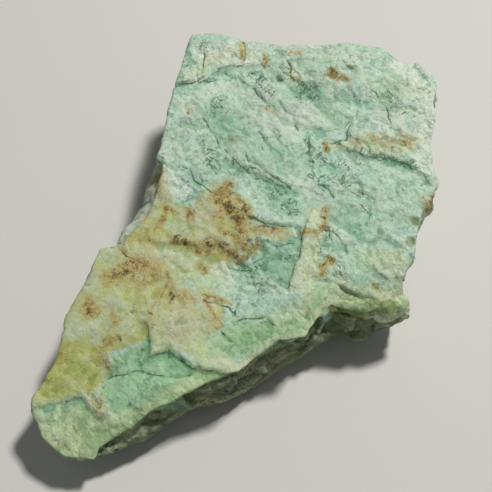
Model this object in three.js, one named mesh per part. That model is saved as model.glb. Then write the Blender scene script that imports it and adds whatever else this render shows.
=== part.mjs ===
// Rough slab of chrysoprase: one natural lump with a broad broken face on top.
// Millimetres, +Z up, resting on z = 0. The long front wall runs along X and
// the origin lies under the middle of the lump.
import * as THREE from 'three';

// Number of cells along the lump, across it and up its walls.
const CELLS_ALONG = 48;
const CELLS_ACROSS = 36;
const CELLS_UP = 7;

// Plan shift that puts the origin under the middle of the lump.
const SHIFT_X = 0.07;
const SHIFT_Y = 0.38;

// The broken face: its height over the origin and its rise per millimetre.
const FACE_LEVEL = 23.5;
const FACE_RISE_X = 0.092;
const FACE_RISE_Y = 0.12;

// Places where the face bends down: centre, reach and depth.
const SAGS = [
  { x: -54.5, y: -34, reach: 17, depth: 4.5 },
  { x: 23.5, y: -42, reach: 14, depth: 2.2 },
];

// Slow waves of the face: heading in degrees, wavelength, height and shift.
const WAVES = [
  { heading: 25, length: 41, height: 0.45, shift: 0.4 },
  { heading: 118, length: 27, height: 0.35, shift: 2.1 },
  { heading: 70, length: 17, height: 0.22, shift: 4.0 },
];

// Low lumps (positive) and hollows (negative) on the face.
const SWELLS = [
  { x: 45, y: 9, reach: 9, height: 0.9 },
  { x: 30, y: 15, reach: 3, height: -0.8 },
  { x: 5, y: -22, reach: 6, height: 0.8 },
  { x: 22, y: -22, reach: 7, height: -0.6 },
  { x: -3, y: -18, reach: 7, height: -0.8 },
  { x: -46, y: -15, reach: 8, height: 0.6 },
  { x: 12, y: 12, reach: 8, height: 0.5 },
  { x: 29, y: -30, reach: 4, height: 0.7 },
];

// Broken steps across the face. Ground to the left of the path, walking from
// its first point to its last, stands higher by `step`; the difference fades
// out over `fade`.
const LEDGES = [
  { step: 1.3, fade: 16, path: [[-28, -17], [-30.5, -23], [-26.5, -24.5], [-23.5, -29.5], [-18, -35]] },
  { step: 0.9, fade: 10, path: [[-58, -18.5], [-53, -21], [-46.5, -22.5], [-46.5, -25], [-44, -31]] },
  { step: 0.8, fade: 12, path: [[4, 32], [10, 28.5], [14, 29], [19, 29], [26, 25]] },
  { step: 1.0, fade: 13, path: [[30, -1], [33.5, -6.5], [37.5, -9.5], [39.5, -12.5], [43, -18]] },
  { step: 0.9, fade: 9, path: [[15, -14], [11.5, -16.5], [9.5, -19], [3, -26]] },
  { step: 0.9, fade: 14, path: [[-16, -2], [-11.5, -5], [-9.5, -7.5], [-6, -8.5], [-2, -15]] },
  { step: 0.7, fade: 10, path: [[5, 10], [11.5, -0.5], [16, -8]] },
  { step: 0.7, fade: 9, path: [[2, -4], [6, -9.5], [12, -14.5]] },
  { step: 0.8, fade: 8, path: [[10, -27], [14, -32], [18, -36]] },
];
const STEP_WIDTH = 0.8;
const STEP_TAPER = 5;

// Outline of the broken face, seen from above, side by side. Front and right
// run from left to right and from front to back; back and left run the other
// way round, so that both start at the far left corner and at the tip.
const RIM = {
  front: [
    [-57, -28], [-55.5, -31], [-52.5, -33.5], [-50.5, -35], [-49, -33.5], [-41.5, -33.5],
    [-35.5, -33], [-31, -34], [-23.5, -33.5], [-16, -35.5], [-8.5, -34], [-5, -33.5],
    [0.5, -36], [2.5, -34.5], [5, -33.5], [9, -32], [12, -35.5], [14, -37], [17.5, -37.5], [20, -38],
    [23.5, -40.5],
  ],
  right: [
    [23.5, -40.5], [24.5, -38], [25.5, -36], [28, -34], [30.5, -32.5], [35.5, -27], [38, -24], [41, -23.5],
    [42, -22], [44, -21], [45, -19], [45.5, -16.5], [47.5, -12.5], [52, -8], [53.5, -4.5], [57.5, 0],
  ],
  back: [
    [15, 40.5], [20, 37.5], [24, 33.5], [29.5, 29.5], [33, 26.5], [41, 21.5], [47.5, 18],
    [51.5, 14.5], [53.5, 9], [56.5, 6], [58, 2], [57.5, 0],
  ],
  left: [
    [-57, -28], [-58, -25.5], [-57.5, -20], [-56, -17.5], [-52, -15.5], [-47.5, -12.5], [-41.5, -5.5],
    [-35.5, -2], [-32.5, 0], [-28.5, 3.5], [-23.5, 2.5], [-19, 4], [-14.5, 6.5], [-8.5, 12.5],
    [-7, 15], [-8, 16.5], [-5.5, 18.5], [4, 29.5], [9, 34.5], [12, 38], [15, 40.5],
  ],
};

// Lower edge of the walls, with its height over the ground.
const FOOT = {
  front: [
    [-53, -27, 5], [-50, -32, 5.5], [-45, -34, 6], [-36.5, -34, 4.5], [-27, -33.5, 4.5], [-18.5, -35, 2.5],
    [-10.5, -35, 1.5], [-3.5, -34.5, 4], [4, -35.5, 7], [8.5, -36, 9.5], [10.5, -37, 9.5], [12.5, -38.5, 7.5],
    [14.5, -39, 6.5], [18.5, -37.5, 4.5], [24, -39, 5],
  ],
  right: [
    [24, -39, 5], [27, -34, 3.5], [32, -29, 4.5], [38, -23, 6], [42, -17, 4], [47, -11, 3],
    [52, -6, 3.5], [54.5, -1, 5],
  ],
  back: [
    [15, 38.5, 4], [22, 34.5, 2.5], [31, 28, 2], [38, 23, 3.5], [46, 18, 3], [51.5, 12, 5], [54, 5, 6],
    [54.5, -1, 5],
  ],
  left: [
    [-53, -27, 5], [-54, -21, 4], [-49, -13, 3.5], [-39, -4, 2.5], [-27, 4.5, 2], [-17, 11, 2],
    [-8, 18, 3], [2, 28, 2.5], [15, 38.5, 4],
  ],
};

// Stations once round the lump: 0 to 1 front, 1 to 2 right, 2 to 3 back
// (coming back), 3 to 4 left (coming back). Each gives the heading of the wall
// in degrees, and how far the wall swells outward in its upper and lower half.
const WALL = [
  { at: 0.00, heading: -158, upper: -1.0, lower: -0.5 },
  { at: 0.12, heading: -105, upper: -0.8, lower: 0.4 },
  { at: 0.20, heading: -90, upper: -1.1, lower: 0.6 },
  { at: 0.32, heading: -90, upper: -1.4, lower: 0.4 },
  { at: 0.45, heading: -90, upper: -0.7, lower: 0.8 },
  { at: 0.55, heading: -90, upper: -1.5, lower: 0.6 },
  { at: 0.66, heading: -90, upper: -0.7, lower: 0.5 },
  { at: 0.76, heading: -90, upper: -1.2, lower: -0.8 },
  { at: 0.86, heading: -90, upper: -1.2, lower: -0.4 },
  { at: 0.94, heading: -80, upper: 0.3, lower: 0.5 },
  { at: 1.00, heading: -64, upper: 0.6, lower: 0.8 },
  { at: 1.15, heading: -39, upper: -0.8, lower: -0.8 },
  { at: 1.35, heading: -39, upper: 0.4, lower: -1.0 },
  { at: 1.50, heading: -39, upper: 1.0, lower: 0.5 },
  { at: 1.60, heading: -39, upper: -0.8, lower: 1.2 },
  { at: 1.85, heading: -39, upper: -0.5, lower: 0.6 },
  { at: 2.00, heading: 4, upper: -0.6, lower: -0.4 },
  { at: 2.15, heading: 47, upper: 0.6, lower: 1.6 },
  { at: 2.40, heading: 47, upper: 1.8, lower: 2.6 },
  { at: 2.60, heading: 47, upper: 0.8, lower: 2.8 },
  { at: 2.85, heading: 47, upper: 0.6, lower: 1.2 },
  { at: 3.00, heading: 90, upper: 0.2, lower: 0.4 },
  { at: 3.15, heading: 133, upper: -0.4, lower: 0.6 },
  { at: 3.31, heading: 133, upper: 0.3, lower: 0.8 },
  { at: 3.37, heading: 133, upper: 2.2, lower: 1.2 },
  { at: 3.47, heading: 133, upper: 3.4, lower: 1.6 },
  { at: 3.54, heading: 133, upper: 2.0, lower: 1.0 },
  { at: 3.60, heading: 133, upper: 0.3, lower: 0.6 },
  { at: 3.85, heading: 140, upper: -0.8, lower: -0.4 },
  { at: 4.00, heading: 202, upper: -1.0, lower: -0.5 },
];
const UPPER_MIDDLE = 0.66;
const LOWER_MIDDLE = 0.32;
const SWELL_HALF_WIDTH = 0.32;

// Levels between which the walls are broken into ridges at full height.
const FOOT_MARGIN = 0.2;
const RIM_MARGIN = 0.85;

// Hackly break of the walls and of the underside: folded ridges.
const RIDGES = [
  { heading: 20, slope: 48, length: 13, height: 0.55 },
  { heading: 80, slope: -35, length: 9, height: 0.4 },
  { heading: 140, slope: 20, length: 6.5, height: 0.3 },
];

// How quickly the waver of a side dies away towards the middle of the sheet.
const STRAY_FADE = 4;

// The underside: a flat resting facet with shallow hollows, rising through a
// bevel of uneven width to the foot of the walls.
const SHEET_LENGTH = 90;
const SHEET_WIDTH = 60;
const BEVEL_WIDTH = 13;
const BEVEL_WAVER = 5;
const FACET_SINK = 2.2;
const HOLLOW_RISE = 3.4;
const HOLLOW_LENGTH = 6;
const UNDERSIDE_ROUGHNESS = 0.8;
const FOOT_BAND = 3;

const GREEN = '#bcd3b8';
const STONE_ROUGHNESS = 0.55;

const radians = THREE.MathUtils.degToRad;
const smooth = THREE.MathUtils.smoothstep;

// Folded wave between -1 and 1.
function fold(turns) {
  const part = turns - Math.floor(turns);
  return 4 * Math.abs(part - 0.5) - 1;
}

// Piecewise straight value of one field of a station list, level past its ends.
function stationValue(stations, field, at) {
  const passed = stations.filter((station) => station.at < at).length;
  const next = THREE.MathUtils.clamp(passed, 1, stations.length - 1);
  const before = stations[next - 1];
  const after = stations[next];
  const share = THREE.MathUtils.clamp((at - before.at) / (after.at - before.at), 0, 1);
  return THREE.MathUtils.lerp(before[field], after[field], share);
}

// Sag, lump or hollow: a round bell over the plan.
function bell(spot, x, y) {
  const squared = ((x - spot.x) ** 2 + (y - spot.y) ** 2) / spot.reach ** 2;
  return Math.exp(-squared);
}

// Height added by one broken step at a point of the plan. The path is read as
// its offset from the straight line between its two ends.
function ledgeHeight(ledge, x, y) {
  const start = new THREE.Vector2(...ledge.path[0]);
  const along = new THREE.Vector2(...ledge.path.at(-1)).sub(start);
  const length = along.length();
  along.divideScalar(length);
  const fromLine = ([px, py]) => {
    const offset = new THREE.Vector2(px, py).sub(start);
    return { at: offset.dot(along), off: along.cross(offset) };
  };
  const spot = fromLine([x, y]);
  const bends = ledge.path.map(fromLine);
  const beyond = spot.off - stationValue(bends, 'off', spot.at);
  const entry = smooth(spot.at, -STEP_TAPER, STEP_TAPER);
  const exit = 1 - smooth(spot.at, length - STEP_TAPER, length + STEP_TAPER);
  const rise = beyond / Math.hypot(beyond, STEP_WIDTH);
  return ledge.step / 2 * rise * Math.exp(-Math.abs(beyond) / ledge.fade) * entry * exit;
}

// Height of the broken face over the ground.
function faceHeight(x, y) {
  let height = FACE_LEVEL + FACE_RISE_X * x + FACE_RISE_Y * y;
  for (const sag of SAGS) {
    height -= sag.depth * bell(sag, x, y);
  }
  for (const wave of WAVES) {
    const heading = radians(wave.heading);
    const run = x * Math.cos(heading) + y * Math.sin(heading);
    height += wave.height * Math.sin(2 * Math.PI * run / wave.length + wave.shift);
  }
  for (const swell of SWELLS) {
    height += swell.height * bell(swell, x, y);
  }
  for (const ledge of LEDGES) {
    height += ledgeHeight(ledge, x, y);
  }
  return height;
}

// Folded ridges through space, for walls and underside.
function hackle(point) {
  let sum = 0;
  for (const ridge of RIDGES) {
    const heading = radians(ridge.heading);
    const slope = radians(ridge.slope);
    const run = Math.cos(slope) * (point.x * Math.cos(heading) + point.y * Math.sin(heading))
      + Math.sin(slope) * point.z;
    const bent = run / ridge.length + 0.25 * Math.sin(point.y / 7 + point.z / 5 + ridge.heading);
    sum += ridge.height * fold(bent);
  }
  return sum;
}

// Path through hand-placed points, walked by its length.
function pathThrough(points) {
  const path = new THREE.CurvePath();
  for (let i = 1; i < points.length; i += 1) {
    path.add(new THREE.LineCurve3(new THREE.Vector3(...points[i - 1]), new THREE.Vector3(...points[i])));
  }
  return path;
}

const rimPaths = {};
const footPaths = {};
for (const side of Object.keys(RIM)) {
  rimPaths[side] = pathThrough(RIM[side].map(([x, y]) => [x, y, 0]));
  footPaths[side] = pathThrough(FOOT[side]);
}

// Station round the lump of a share of one side.
function stationOf(side, share) {
  const stations = { front: share, right: 1 + share, back: 3 - share, left: 4 - share };
  return stations[side];
}

// Point of the wall at a share of its side and a level from foot (0) to rim (1).
function wallPoint(side, share, level) {
  const rim = rimPaths[side].getPoint(share);
  rim.z = faceHeight(rim.x, rim.y);
  const point = footPaths[side].getPoint(share).lerp(rim, level);
  const at = stationOf(side, share);
  const heading = radians(stationValue(WALL, 'heading', at));
  const upper = 1 - smooth(Math.abs(level - UPPER_MIDDLE), 0, SWELL_HALF_WIDTH);
  const lower = 1 - smooth(Math.abs(level - LOWER_MIDDLE), 0, SWELL_HALF_WIDTH);
  const between = smooth(level, 0, FOOT_MARGIN) * (1 - smooth(level, RIM_MARGIN, 1));
  const swell = stationValue(WALL, 'upper', at) * upper + stationValue(WALL, 'lower', at) * lower;
  const outward = swell + hackle(point) * between;
  point.x += Math.cos(heading) * outward;
  point.y += Math.sin(heading) * outward;
  return point;
}

// Sheet stretched between the four sides at one level: a flat patch between the
// corners, plus the way each side strays from its chord, fading out inward.
function sheetPoint(u, v, level) {
  const corner = (side, share) => wallPoint(side, share, level);
  const frontChord = corner('front', 0).lerp(corner('front', 1), u);
  const backChord = corner('back', 0).lerp(corner('back', 1), u);
  const leftChord = corner('left', 0).lerp(corner('left', 1), v);
  const rightChord = corner('right', 0).lerp(corner('right', 1), v);
  const strays = [
    [wallPoint('front', u, level).sub(frontChord), v],
    [wallPoint('back', u, level).sub(backChord), 1 - v],
    [wallPoint('left', v, level).sub(leftChord), u],
    [wallPoint('right', v, level).sub(rightChord), 1 - u],
  ];
  const point = frontChord.lerp(backChord, v);
  for (const [stray, depth] of strays) {
    point.addScaledVector(stray, (1 - depth) ** STRAY_FADE);
  }
  return point;
}

// Underside: bevelled up to the foot of the walls, cut off flat at the ground.
function undersideHeight(u, v, point) {
  const room = Math.min(Math.min(u, 1 - u) * SHEET_LENGTH, Math.min(v, 1 - v) * SHEET_WIDTH);
  const bevel = BEVEL_WIDTH + BEVEL_WAVER * Math.sin(point.x / 9 + point.y / 13);
  const inside = smooth(room, 0, bevel);
  const hollow = HOLLOW_RISE * Math.sin(point.x / HOLLOW_LENGTH + 1) * Math.sin(point.y / HOLLOW_LENGTH + 2);
  const rough = hackle(point) * UNDERSIDE_ROUGHNESS * smooth(room, 0, FOOT_BAND);
  return Math.max(0, point.z * (1 - inside) + (hollow - FACET_SINK) * inside + rough);
}

function slabGeometry() {
  const box = new THREE.BoxGeometry(1, 1, 1, CELLS_ALONG, CELLS_ACROSS, CELLS_UP);
  const spots = box.getAttribute('position');
  for (let i = 0; i < spots.count; i += 1) {
    const u = spots.getX(i) + 0.5;
    const v = spots.getY(i) + 0.5;
    const level = spots.getZ(i) + 0.5;
    const point = sheetPoint(u, v, level);
    if (level > 1 - 1e-6) {
      point.z = faceHeight(point.x, point.y);
    } else if (level < 1e-6) {
      point.z = undersideHeight(u, v, point);
    }
    spots.setXYZ(i, point.x + SHIFT_X, point.y + SHIFT_Y, point.z);
  }
  box.computeVertexNormals();
  return box;
}

const stone = new THREE.MeshStandardMaterial({ color: GREEN, roughness: STONE_ROUGHNESS, metalness: 0 });
const slab = new THREE.Mesh(slabGeometry(), stone);
slab.name = 'chrysoprase_slab';

const specimen = new THREE.Group();
specimen.add(slab);

export default specimen;
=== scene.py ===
"""Rough slab of chrysoprase, lying on a pale floor with its broken face up.

The lump is one closed surface in three sheets that share their edges: the
broken face, the walls and the underside. Everything is in metres, +Z up, with
the origin under the middle of the lump.
"""
import math
from functools import partialmethod

import bpy
import numpy as np
from bpy.props import FloatProperty, FloatVectorProperty, IntProperty, PointerProperty
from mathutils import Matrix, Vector


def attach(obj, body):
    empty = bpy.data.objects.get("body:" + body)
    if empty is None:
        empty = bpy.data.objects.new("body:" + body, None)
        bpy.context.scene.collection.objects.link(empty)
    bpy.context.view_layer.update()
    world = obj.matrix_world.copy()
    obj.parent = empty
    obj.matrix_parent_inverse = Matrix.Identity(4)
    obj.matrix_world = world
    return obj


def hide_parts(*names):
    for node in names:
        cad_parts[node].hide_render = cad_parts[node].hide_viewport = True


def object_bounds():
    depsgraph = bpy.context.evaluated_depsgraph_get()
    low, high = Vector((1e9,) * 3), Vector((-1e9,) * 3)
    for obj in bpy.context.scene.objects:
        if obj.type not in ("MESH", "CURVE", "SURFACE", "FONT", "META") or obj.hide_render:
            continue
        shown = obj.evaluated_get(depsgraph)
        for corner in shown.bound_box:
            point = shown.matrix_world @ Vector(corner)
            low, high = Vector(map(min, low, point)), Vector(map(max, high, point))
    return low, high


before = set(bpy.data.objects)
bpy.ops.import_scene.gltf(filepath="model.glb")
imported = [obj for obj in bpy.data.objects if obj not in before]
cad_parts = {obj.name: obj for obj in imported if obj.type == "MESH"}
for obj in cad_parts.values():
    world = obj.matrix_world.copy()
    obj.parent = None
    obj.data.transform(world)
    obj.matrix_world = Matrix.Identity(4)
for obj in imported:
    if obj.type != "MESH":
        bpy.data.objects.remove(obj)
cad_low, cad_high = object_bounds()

bl_info = {
    "name": "Chrysoprase slab",
    "version": (1, 0, 0),
    "blender": (4, 5, 0),
    "location": "3D View > Sidebar > Chrysoprase",
    "description": "Builds a rough slab of chrysoprase and a plain stage for it",
    "category": "Add Mesh",
}

NODE = "chrysoprase_slab"
PIECE = "chrysoprase_lump"
MM = 0.001

# Times a place, this gives its plan at height 0.
FLAT = (1, 1, 0)

# ---------------------------------------------------------------- main shape
# Millimetres. The same forms as the solid that this piece stands for.

SHIFT = (0.07, 0.38)

# The broken face: height over the origin, rise per millimetre along X and Y.
FACE_LEVEL = 23.5
FACE_RISE = (0.092, 0.12)

# Bells on the face: x, y, reach, height. The first two are where it bends down.
BELLS = (
    (-54.5, -34, 17, -4.5), (23.5, -42, 14, -2.2),
    (45, 9, 9, 0.9), (30, 15, 3, -0.8), (5, -22, 6, 0.8), (22, -22, 7, -0.6),
    (-3, -18, 7, -0.8), (-46, -15, 8, 0.6), (12, 12, 8, 0.5), (29, -30, 4, 0.7),
)

# Slow waves of the face: heading in degrees, wavelength, height, shift.
WAVES = ((25, 41, 0.45, 0.4), (118, 27, 0.35, 2.1), (70, 17, 0.22, 4.0))

# Broken steps: height, fade, then x and y along the path. The left of the path stands higher, and the first
# few steps are sharp, with a painted shadow line along their foot.
LEDGES = (
    (1.3, 16, -28, -17, -30.5, -23, -26.5, -24.5, -23.5, -29.5, -18, -35),
    (0.8, 12, 4, 32, 10, 28.5, 14, 29, 19, 29, 26, 25),
    (0.8, 6, 30, -1, 33.5, -6.5, 37.5, -9.5, 39.5, -12.5, 43, -18),
    (0.9, 9, 15, -14, 11.5, -16.5, 9.5, -19, 3, -26),
    (0.6, 10, -58, -18.5, -53, -21, -46.5, -22.5, -46.5, -25, -44, -31),
    (0.9, 14, -16, -2, -11.5, -5, -9.5, -7.5, -6, -8.5, -2, -15), (0.4, 5, 5, 10, 11.5, -0.5, 16, -8),
    (0.5, 6, 2, -4, 6, -9.5, 12, -14.5), (0.8, 8, 10, -27, 14, -32, 18, -36),
)
SHARP_LEDGES = 4
STEP_WIDTH = 0.22
STEP_TAPER = 5
STEP_SHADOW_OFFSET = 0.15

# Outline of the broken face and lower edge of the walls, side by side.
RIM = {
    "front": (
        (-57, -28), (-55.5, -31), (-52.5, -33.5), (-50.5, -35), (-49, -33.5), (-41.5, -33.5),
        (-35.5, -33), (-31, -34), (-23.5, -33.5), (-16, -35.5), (-8.5, -34), (-5, -33.5),
        (0.5, -36), (2.5, -34.5), (5, -33.5), (9, -32), (12, -35.5), (14, -37), (17.5, -37.5),
        (20, -38), (23.5, -40.5),
    ),
    "right": (
        (23.5, -40.5), (24.5, -38), (25.5, -36), (28, -34), (30.5, -32.5), (35.5, -27),
        (38, -24), (41, -23.5), (42, -22), (44, -21), (45, -19), (45.5, -16.5),
        (47.5, -12.5), (52, -8), (53.5, -4.5), (57.5, 0),
    ),
    "back": (
        (15, 40.5), (20, 37.5), (24, 33.5), (29.5, 29.5), (33, 26.5), (41, 21.5),
        (47.5, 18), (51.5, 14.5), (53.5, 9), (56.5, 6), (58, 2), (57.5, 0),
    ),
    "left": (
        (-57, -28), (-58, -25.5), (-57.5, -20), (-56, -17.5), (-52, -15.5), (-47.5, -12.5),
        (-41.5, -5.5), (-35.5, -2), (-32.5, 0), (-28.5, 3.5), (-23.5, 2.5), (-19, 4),
        (-14.5, 6.5), (-8.5, 12.5), (-7, 15), (-8, 16.5), (-5.5, 18.5), (4, 29.5),
        (9, 34.5), (12, 38), (15, 40.5),
    ),
}
FOOT = {
    "front": (
        (-53, -27, 5), (-50, -32, 5.5), (-45, -34, 6), (-36.5, -34, 4.5), (-27, -33.5, 4.5),
        (-18.5, -35, 2.5), (-10.5, -35, 1.5), (-3.5, -34.5, 4), (4, -35.5, 7), (8.5, -36, 9.5),
        (10.5, -37, 9.5), (12.5, -38.5, 7.5), (14.5, -39, 6.5), (18.5, -37.5, 4.5), (24, -39, 5),
    ),
    "right": (
        (24, -39, 5), (27, -34, 3.5), (32, -29, 4.5), (38, -23, 6), (42, -17, 4),
        (47, -11, 3), (52, -6, 3.5), (54.5, -1, 5),
    ),
    "back": (
        (15, 38.5, 4), (22, 34.5, 2.5), (31, 28, 2), (38, 23, 3.5), (46, 18, 3),
        (51.5, 12, 5), (54, 5, 6), (54.5, -1, 5),
    ),
    "left": (
        (-53, -27, 5), (-54, -21, 4), (-49, -13, 3.5), (-39, -4, 2.5), (-27, 4.5, 2),
        (-17, 11, 2), (-8, 18, 3), (2, 28, 2.5), (15, 38.5, 4),
    ),
}

# Stations once round the lump, one unit a side (front, right, back, left):
# heading of the wall in degrees and its swell in the upper and lower half.
WALL = (
    (0.00, -158, -1.0, -0.5), (0.12, -105, -0.8, 0.4), (0.20, -90, -1.1, 0.6),
    (0.32, -90, -1.4, 0.4), (0.45, -90, -0.7, 0.8), (0.55, -90, -1.5, 0.6),
    (0.66, -90, -0.7, 0.5), (0.76, -90, -1.2, -0.8), (0.86, -90, -1.2, -0.4),
    (0.94, -80, 0.3, 0.5), (1.00, -64, 0.6, 0.8), (1.15, -39, -0.8, -0.8),
    (1.35, -39, 0.4, -1.0), (1.50, -39, 1.0, 0.5), (1.60, -39, -0.8, 1.2),
    (1.85, -39, -0.5, 0.6), (2.00, 4, -0.6, -0.4), (2.15, 47, 0.6, 1.6),
    (2.40, 47, 1.8, 2.6), (2.60, 47, 0.8, 2.8), (2.85, 47, 0.6, 1.2),
    (3.00, 90, 0.2, 0.4), (3.15, 133, -0.4, 0.6), (3.31, 133, 0.3, 0.8),
    (3.37, 133, 2.2, 1.2), (3.47, 133, 3.4, 1.6), (3.54, 133, 2.0, 1.0),
    (3.60, 133, 0.3, 0.6), (3.85, 140, -0.8, -0.4), (4.00, 202, -1.0, -0.5),
)
UPPER_MIDDLE = 0.66
LOWER_MIDDLE = 0.32
SWELL_HALF_WIDTH = 0.32
FOOT_MARGIN = 0.2
RIM_MARGIN = 0.85

# Folded ridges of walls and underside: heading, slope, wavelength, height.
RIDGES = ((20, 48, 13, 0.55), (80, -35, 9, 0.4), (140, 20, 6.5, 0.3))
RIDGE_SWAY = 0.25
SWAY_ALONG = (7, 5)
STRAY_FADE = 4

# Underside: plan of the sheet, bevel, and the hollows of the resting facet.
SHEET_LENGTH = 90
SHEET_WIDTH = 60
BEVEL_WIDTH = 13
BEVEL_WAVER = 5
BEVEL_LENGTHS = (9, 13)
FACET_SINK = 2.2
HOLLOW_RISE = 3.4
HOLLOW_LENGTH = 6
UNDERSIDE_ROUGHNESS = 0.8
FOOT_BAND = 3


def smooth(value, low, high):
    """Smooth step: t = (value - low) / (high - low) held to 0..1, then t*t*(3 - 2t)."""
    t = np.clip((value - low) / (high - low), 0, 1)
    return t * t * (3 - 2 * t)


def offset_from_line(start, end, x, y):
    """How far along the line from start to end a point lies, and how far to its left."""
    along = np.subtract(end, start)
    length = np.hypot(*along)
    cx, cy = along / length
    dx, dy = x - start[0], y - start[1]
    return dx * cx + dy * cy, cx * dy - cy * dx, length


def beyond_path(path, x, y):
    """How far a point lies to the left of a path, measured square to the straight line
    from its start to its end; how far along that line; and how long the line is."""
    path = np.reshape(path, (-1, 2))
    at, off, length = offset_from_line(path[0], path[-1], x, y)
    bend_at, bend_off, _ = offset_from_line(path[0], path[-1], path[:, 0], path[:, 1])
    order = np.argsort(bend_at)
    return off - np.interp(at, bend_at[order], bend_off[order]), at, length


def ledge_height(step, fade, path, x, y, ragged):
    """Half the step times d / sqrt(d*d + width*width), d the way beyond the path,
    fading as exp(-|d| / fade) and smoothly to nothing at both ends of the path."""
    beyond, at, length = beyond_path(path, x, y)
    beyond = beyond + ragged
    ends = smooth(at, -STEP_TAPER, STEP_TAPER) * (1 - smooth(at, length - STEP_TAPER, length + STEP_TAPER))
    return step / 2 * beyond / np.hypot(beyond, STEP_WIDTH) * np.exp(-np.abs(beyond) / fade) * ends


def face_height(x, y, ragged=0.0):
    """Height of the broken face: a tilted plane, plus bells height*exp(-(d/reach)^2),
    plus sine waves along their headings, plus the broken steps."""
    height = FACE_LEVEL + FACE_RISE[0] * x + FACE_RISE[1] * y
    for bx, by, reach, rise in BELLS:
        height = height + rise * np.exp(-((x - bx) ** 2 + (y - by) ** 2) / reach ** 2)
    for heading, length, rise, shift in WAVES:
        turn = math.radians(heading)
        run = x * math.cos(turn) + y * math.sin(turn)
        height = height + rise * np.sin(2 * math.pi * run / length + shift)
    for step, fade, *path in LEDGES:
        height = height + ledge_height(step, fade, path, x, y, ragged)
    return height


def hackle(points):
    """Sum of folded waves 4*|frac(t) - 0.5| - 1 through space, each bent by a slow sine."""
    x, y, z = points[..., 0], points[..., 1], points[..., 2]
    total = np.zeros_like(x)
    for heading, slope, length, rise in RIDGES:
        turn, tip = math.radians(heading), math.radians(slope)
        run = math.cos(tip) * (x * math.cos(turn) + y * math.sin(turn)) + math.sin(tip) * z
        bent = run / length + RIDGE_SWAY * np.sin(y / SWAY_ALONG[0] + z / SWAY_ALONG[1] + heading)
        total += rise * (4 * np.abs(bent - np.floor(bent) - 0.5) - 1)
    return total


def along_path(points, share):
    """Points at the given shares of a path's length, straight between its bends."""
    path = np.array(points, float)
    steps = np.linalg.norm(np.diff(path, axis=0), axis=1)
    walked = np.concatenate([[0], np.cumsum(steps)])
    at = np.asarray(share) * walked[-1]
    return np.stack([np.interp(at, walked, path[:, i]) for i in range(path.shape[1])], -1)


STATION = {
    "front": lambda share: share, "right": lambda share: 1 + share,
    "back": lambda share: 3 - share, "left": lambda share: 4 - share,
}


def wall_point(side, share, level):
    """Straight line from foot to rim, pushed out along the wall's heading by the
    swells of its two halves and by the folded ridges, which fade at both edges."""
    share, level = np.broadcast_arrays(np.asarray(share, float), np.asarray(level, float))
    rim = along_path(RIM[side], share)
    rim = np.concatenate([rim, face_height(rim[..., 0], rim[..., 1])[..., None]], -1)
    foot = along_path(FOOT[side], share)
    point = foot + (rim - foot) * level[..., None]
    at, heading, upper, lower = np.array(WALL).T
    station = STATION[side](share)
    turn = np.radians(np.interp(station, at, heading))
    up = 1 - smooth(np.abs(level - UPPER_MIDDLE), 0, SWELL_HALF_WIDTH)
    low = 1 - smooth(np.abs(level - LOWER_MIDDLE), 0, SWELL_HALF_WIDTH)
    between = smooth(level, 0, FOOT_MARGIN) * (1 - smooth(level, RIM_MARGIN, 1))
    out = np.interp(station, at, upper) * up + np.interp(station, at, lower) * low
    out = out + hackle(point) * between
    point[..., 0] += np.cos(turn) * out
    point[..., 1] += np.sin(turn) * out
    return point


def sheet_point(u, v, level):
    """Bilinear patch between the four corners, plus each side's straying from its
    chord times (1 - depth)^4, depth being 0 on that side and 1 on the far one."""
    u, v = np.broadcast_arrays(np.asarray(u, float), np.asarray(v, float))

    def chord(side, share):
        ends = [wall_point(side, end, level) for end in (0.0, 1.0)]
        return ends[0] + (ends[1] - ends[0]) * share[..., None]

    front, back = chord("front", u), chord("back", u)
    point = front + (back - front) * v[..., None]
    for side, share, depth in (("front", u, v), ("back", u, 1 - v), ("left", v, u), ("right", v, 1 - u)):
        stray = wall_point(side, share, level) - chord(side, share)
        point = point + stray * ((1 - depth) ** STRAY_FADE)[..., None]
    return point


def edge_room(u, v):
    """How far in from the nearest edge of the sheet a point lies."""
    return np.minimum(np.minimum(u, 1 - u) * SHEET_LENGTH, np.minimum(v, 1 - v) * SHEET_WIDTH)


def underside_height(u, v, point):
    """Bevel from the foot down to shallow hollows, cut off flat at the ground."""
    x, y, z = point[..., 0], point[..., 1], point[..., 2]
    room = edge_room(u, v)
    bevel = BEVEL_WIDTH + BEVEL_WAVER * np.sin(x / BEVEL_LENGTHS[0] + y / BEVEL_LENGTHS[1])
    inside = smooth(room, 0, bevel)
    hollow = HOLLOW_RISE * np.sin(x / HOLLOW_LENGTH + 1) * np.sin(y / HOLLOW_LENGTH + 2)
    rough = hackle(point) * UNDERSIDE_ROUGHNESS * smooth(room, 0, FOOT_BAND)
    return z * (1 - inside) + (hollow - FACET_SINK) * inside + rough


# ---------------------------------------------------------------- fracture
# Noise is made from whole numbers alone, so every run gives the same lump.

HASH_X, HASH_Y, HASH_Z, HASH_SEED = 73856093, 19349663, 83492791, 40503
HASH_MIX = (0x7FEB352D, 0x6C8E9CF5)
WORD = 0xFFFFFFFF
ROUGH_SPAN = 1.6
CORNERS = np.array([(i, j, k) for i in (0, 1) for j in (0, 1) for k in (0, 1)])
NEIGHBOURS = np.array([(i, j, k) for i in (-1, 0, 1) for j in (-1, 0, 1) for k in (-1, 0, 1)])
TURN_BETWEEN = np.array(((0.36, 0.48, -0.8), (-0.8, 0.6, 0.0), (0.48, 0.64, 0.6)))


def scatter(cells, seed):
    """Even random numbers in 0..1: cell counts and seed times large odd numbers,
    combined by exclusive or, then twice multiplied and folded onto themselves."""
    c = cells.astype(np.int64)
    h = (c[..., 0] * HASH_X) ^ (c[..., 1] * HASH_Y) ^ (c[..., 2] * HASH_Z) ^ (seed * HASH_SEED)
    h &= WORD
    for factor in HASH_MIX:
        h ^= h >> 16
        h = (h * factor) & WORD
    h ^= h >> 15
    return h / (WORD + 1)


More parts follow.
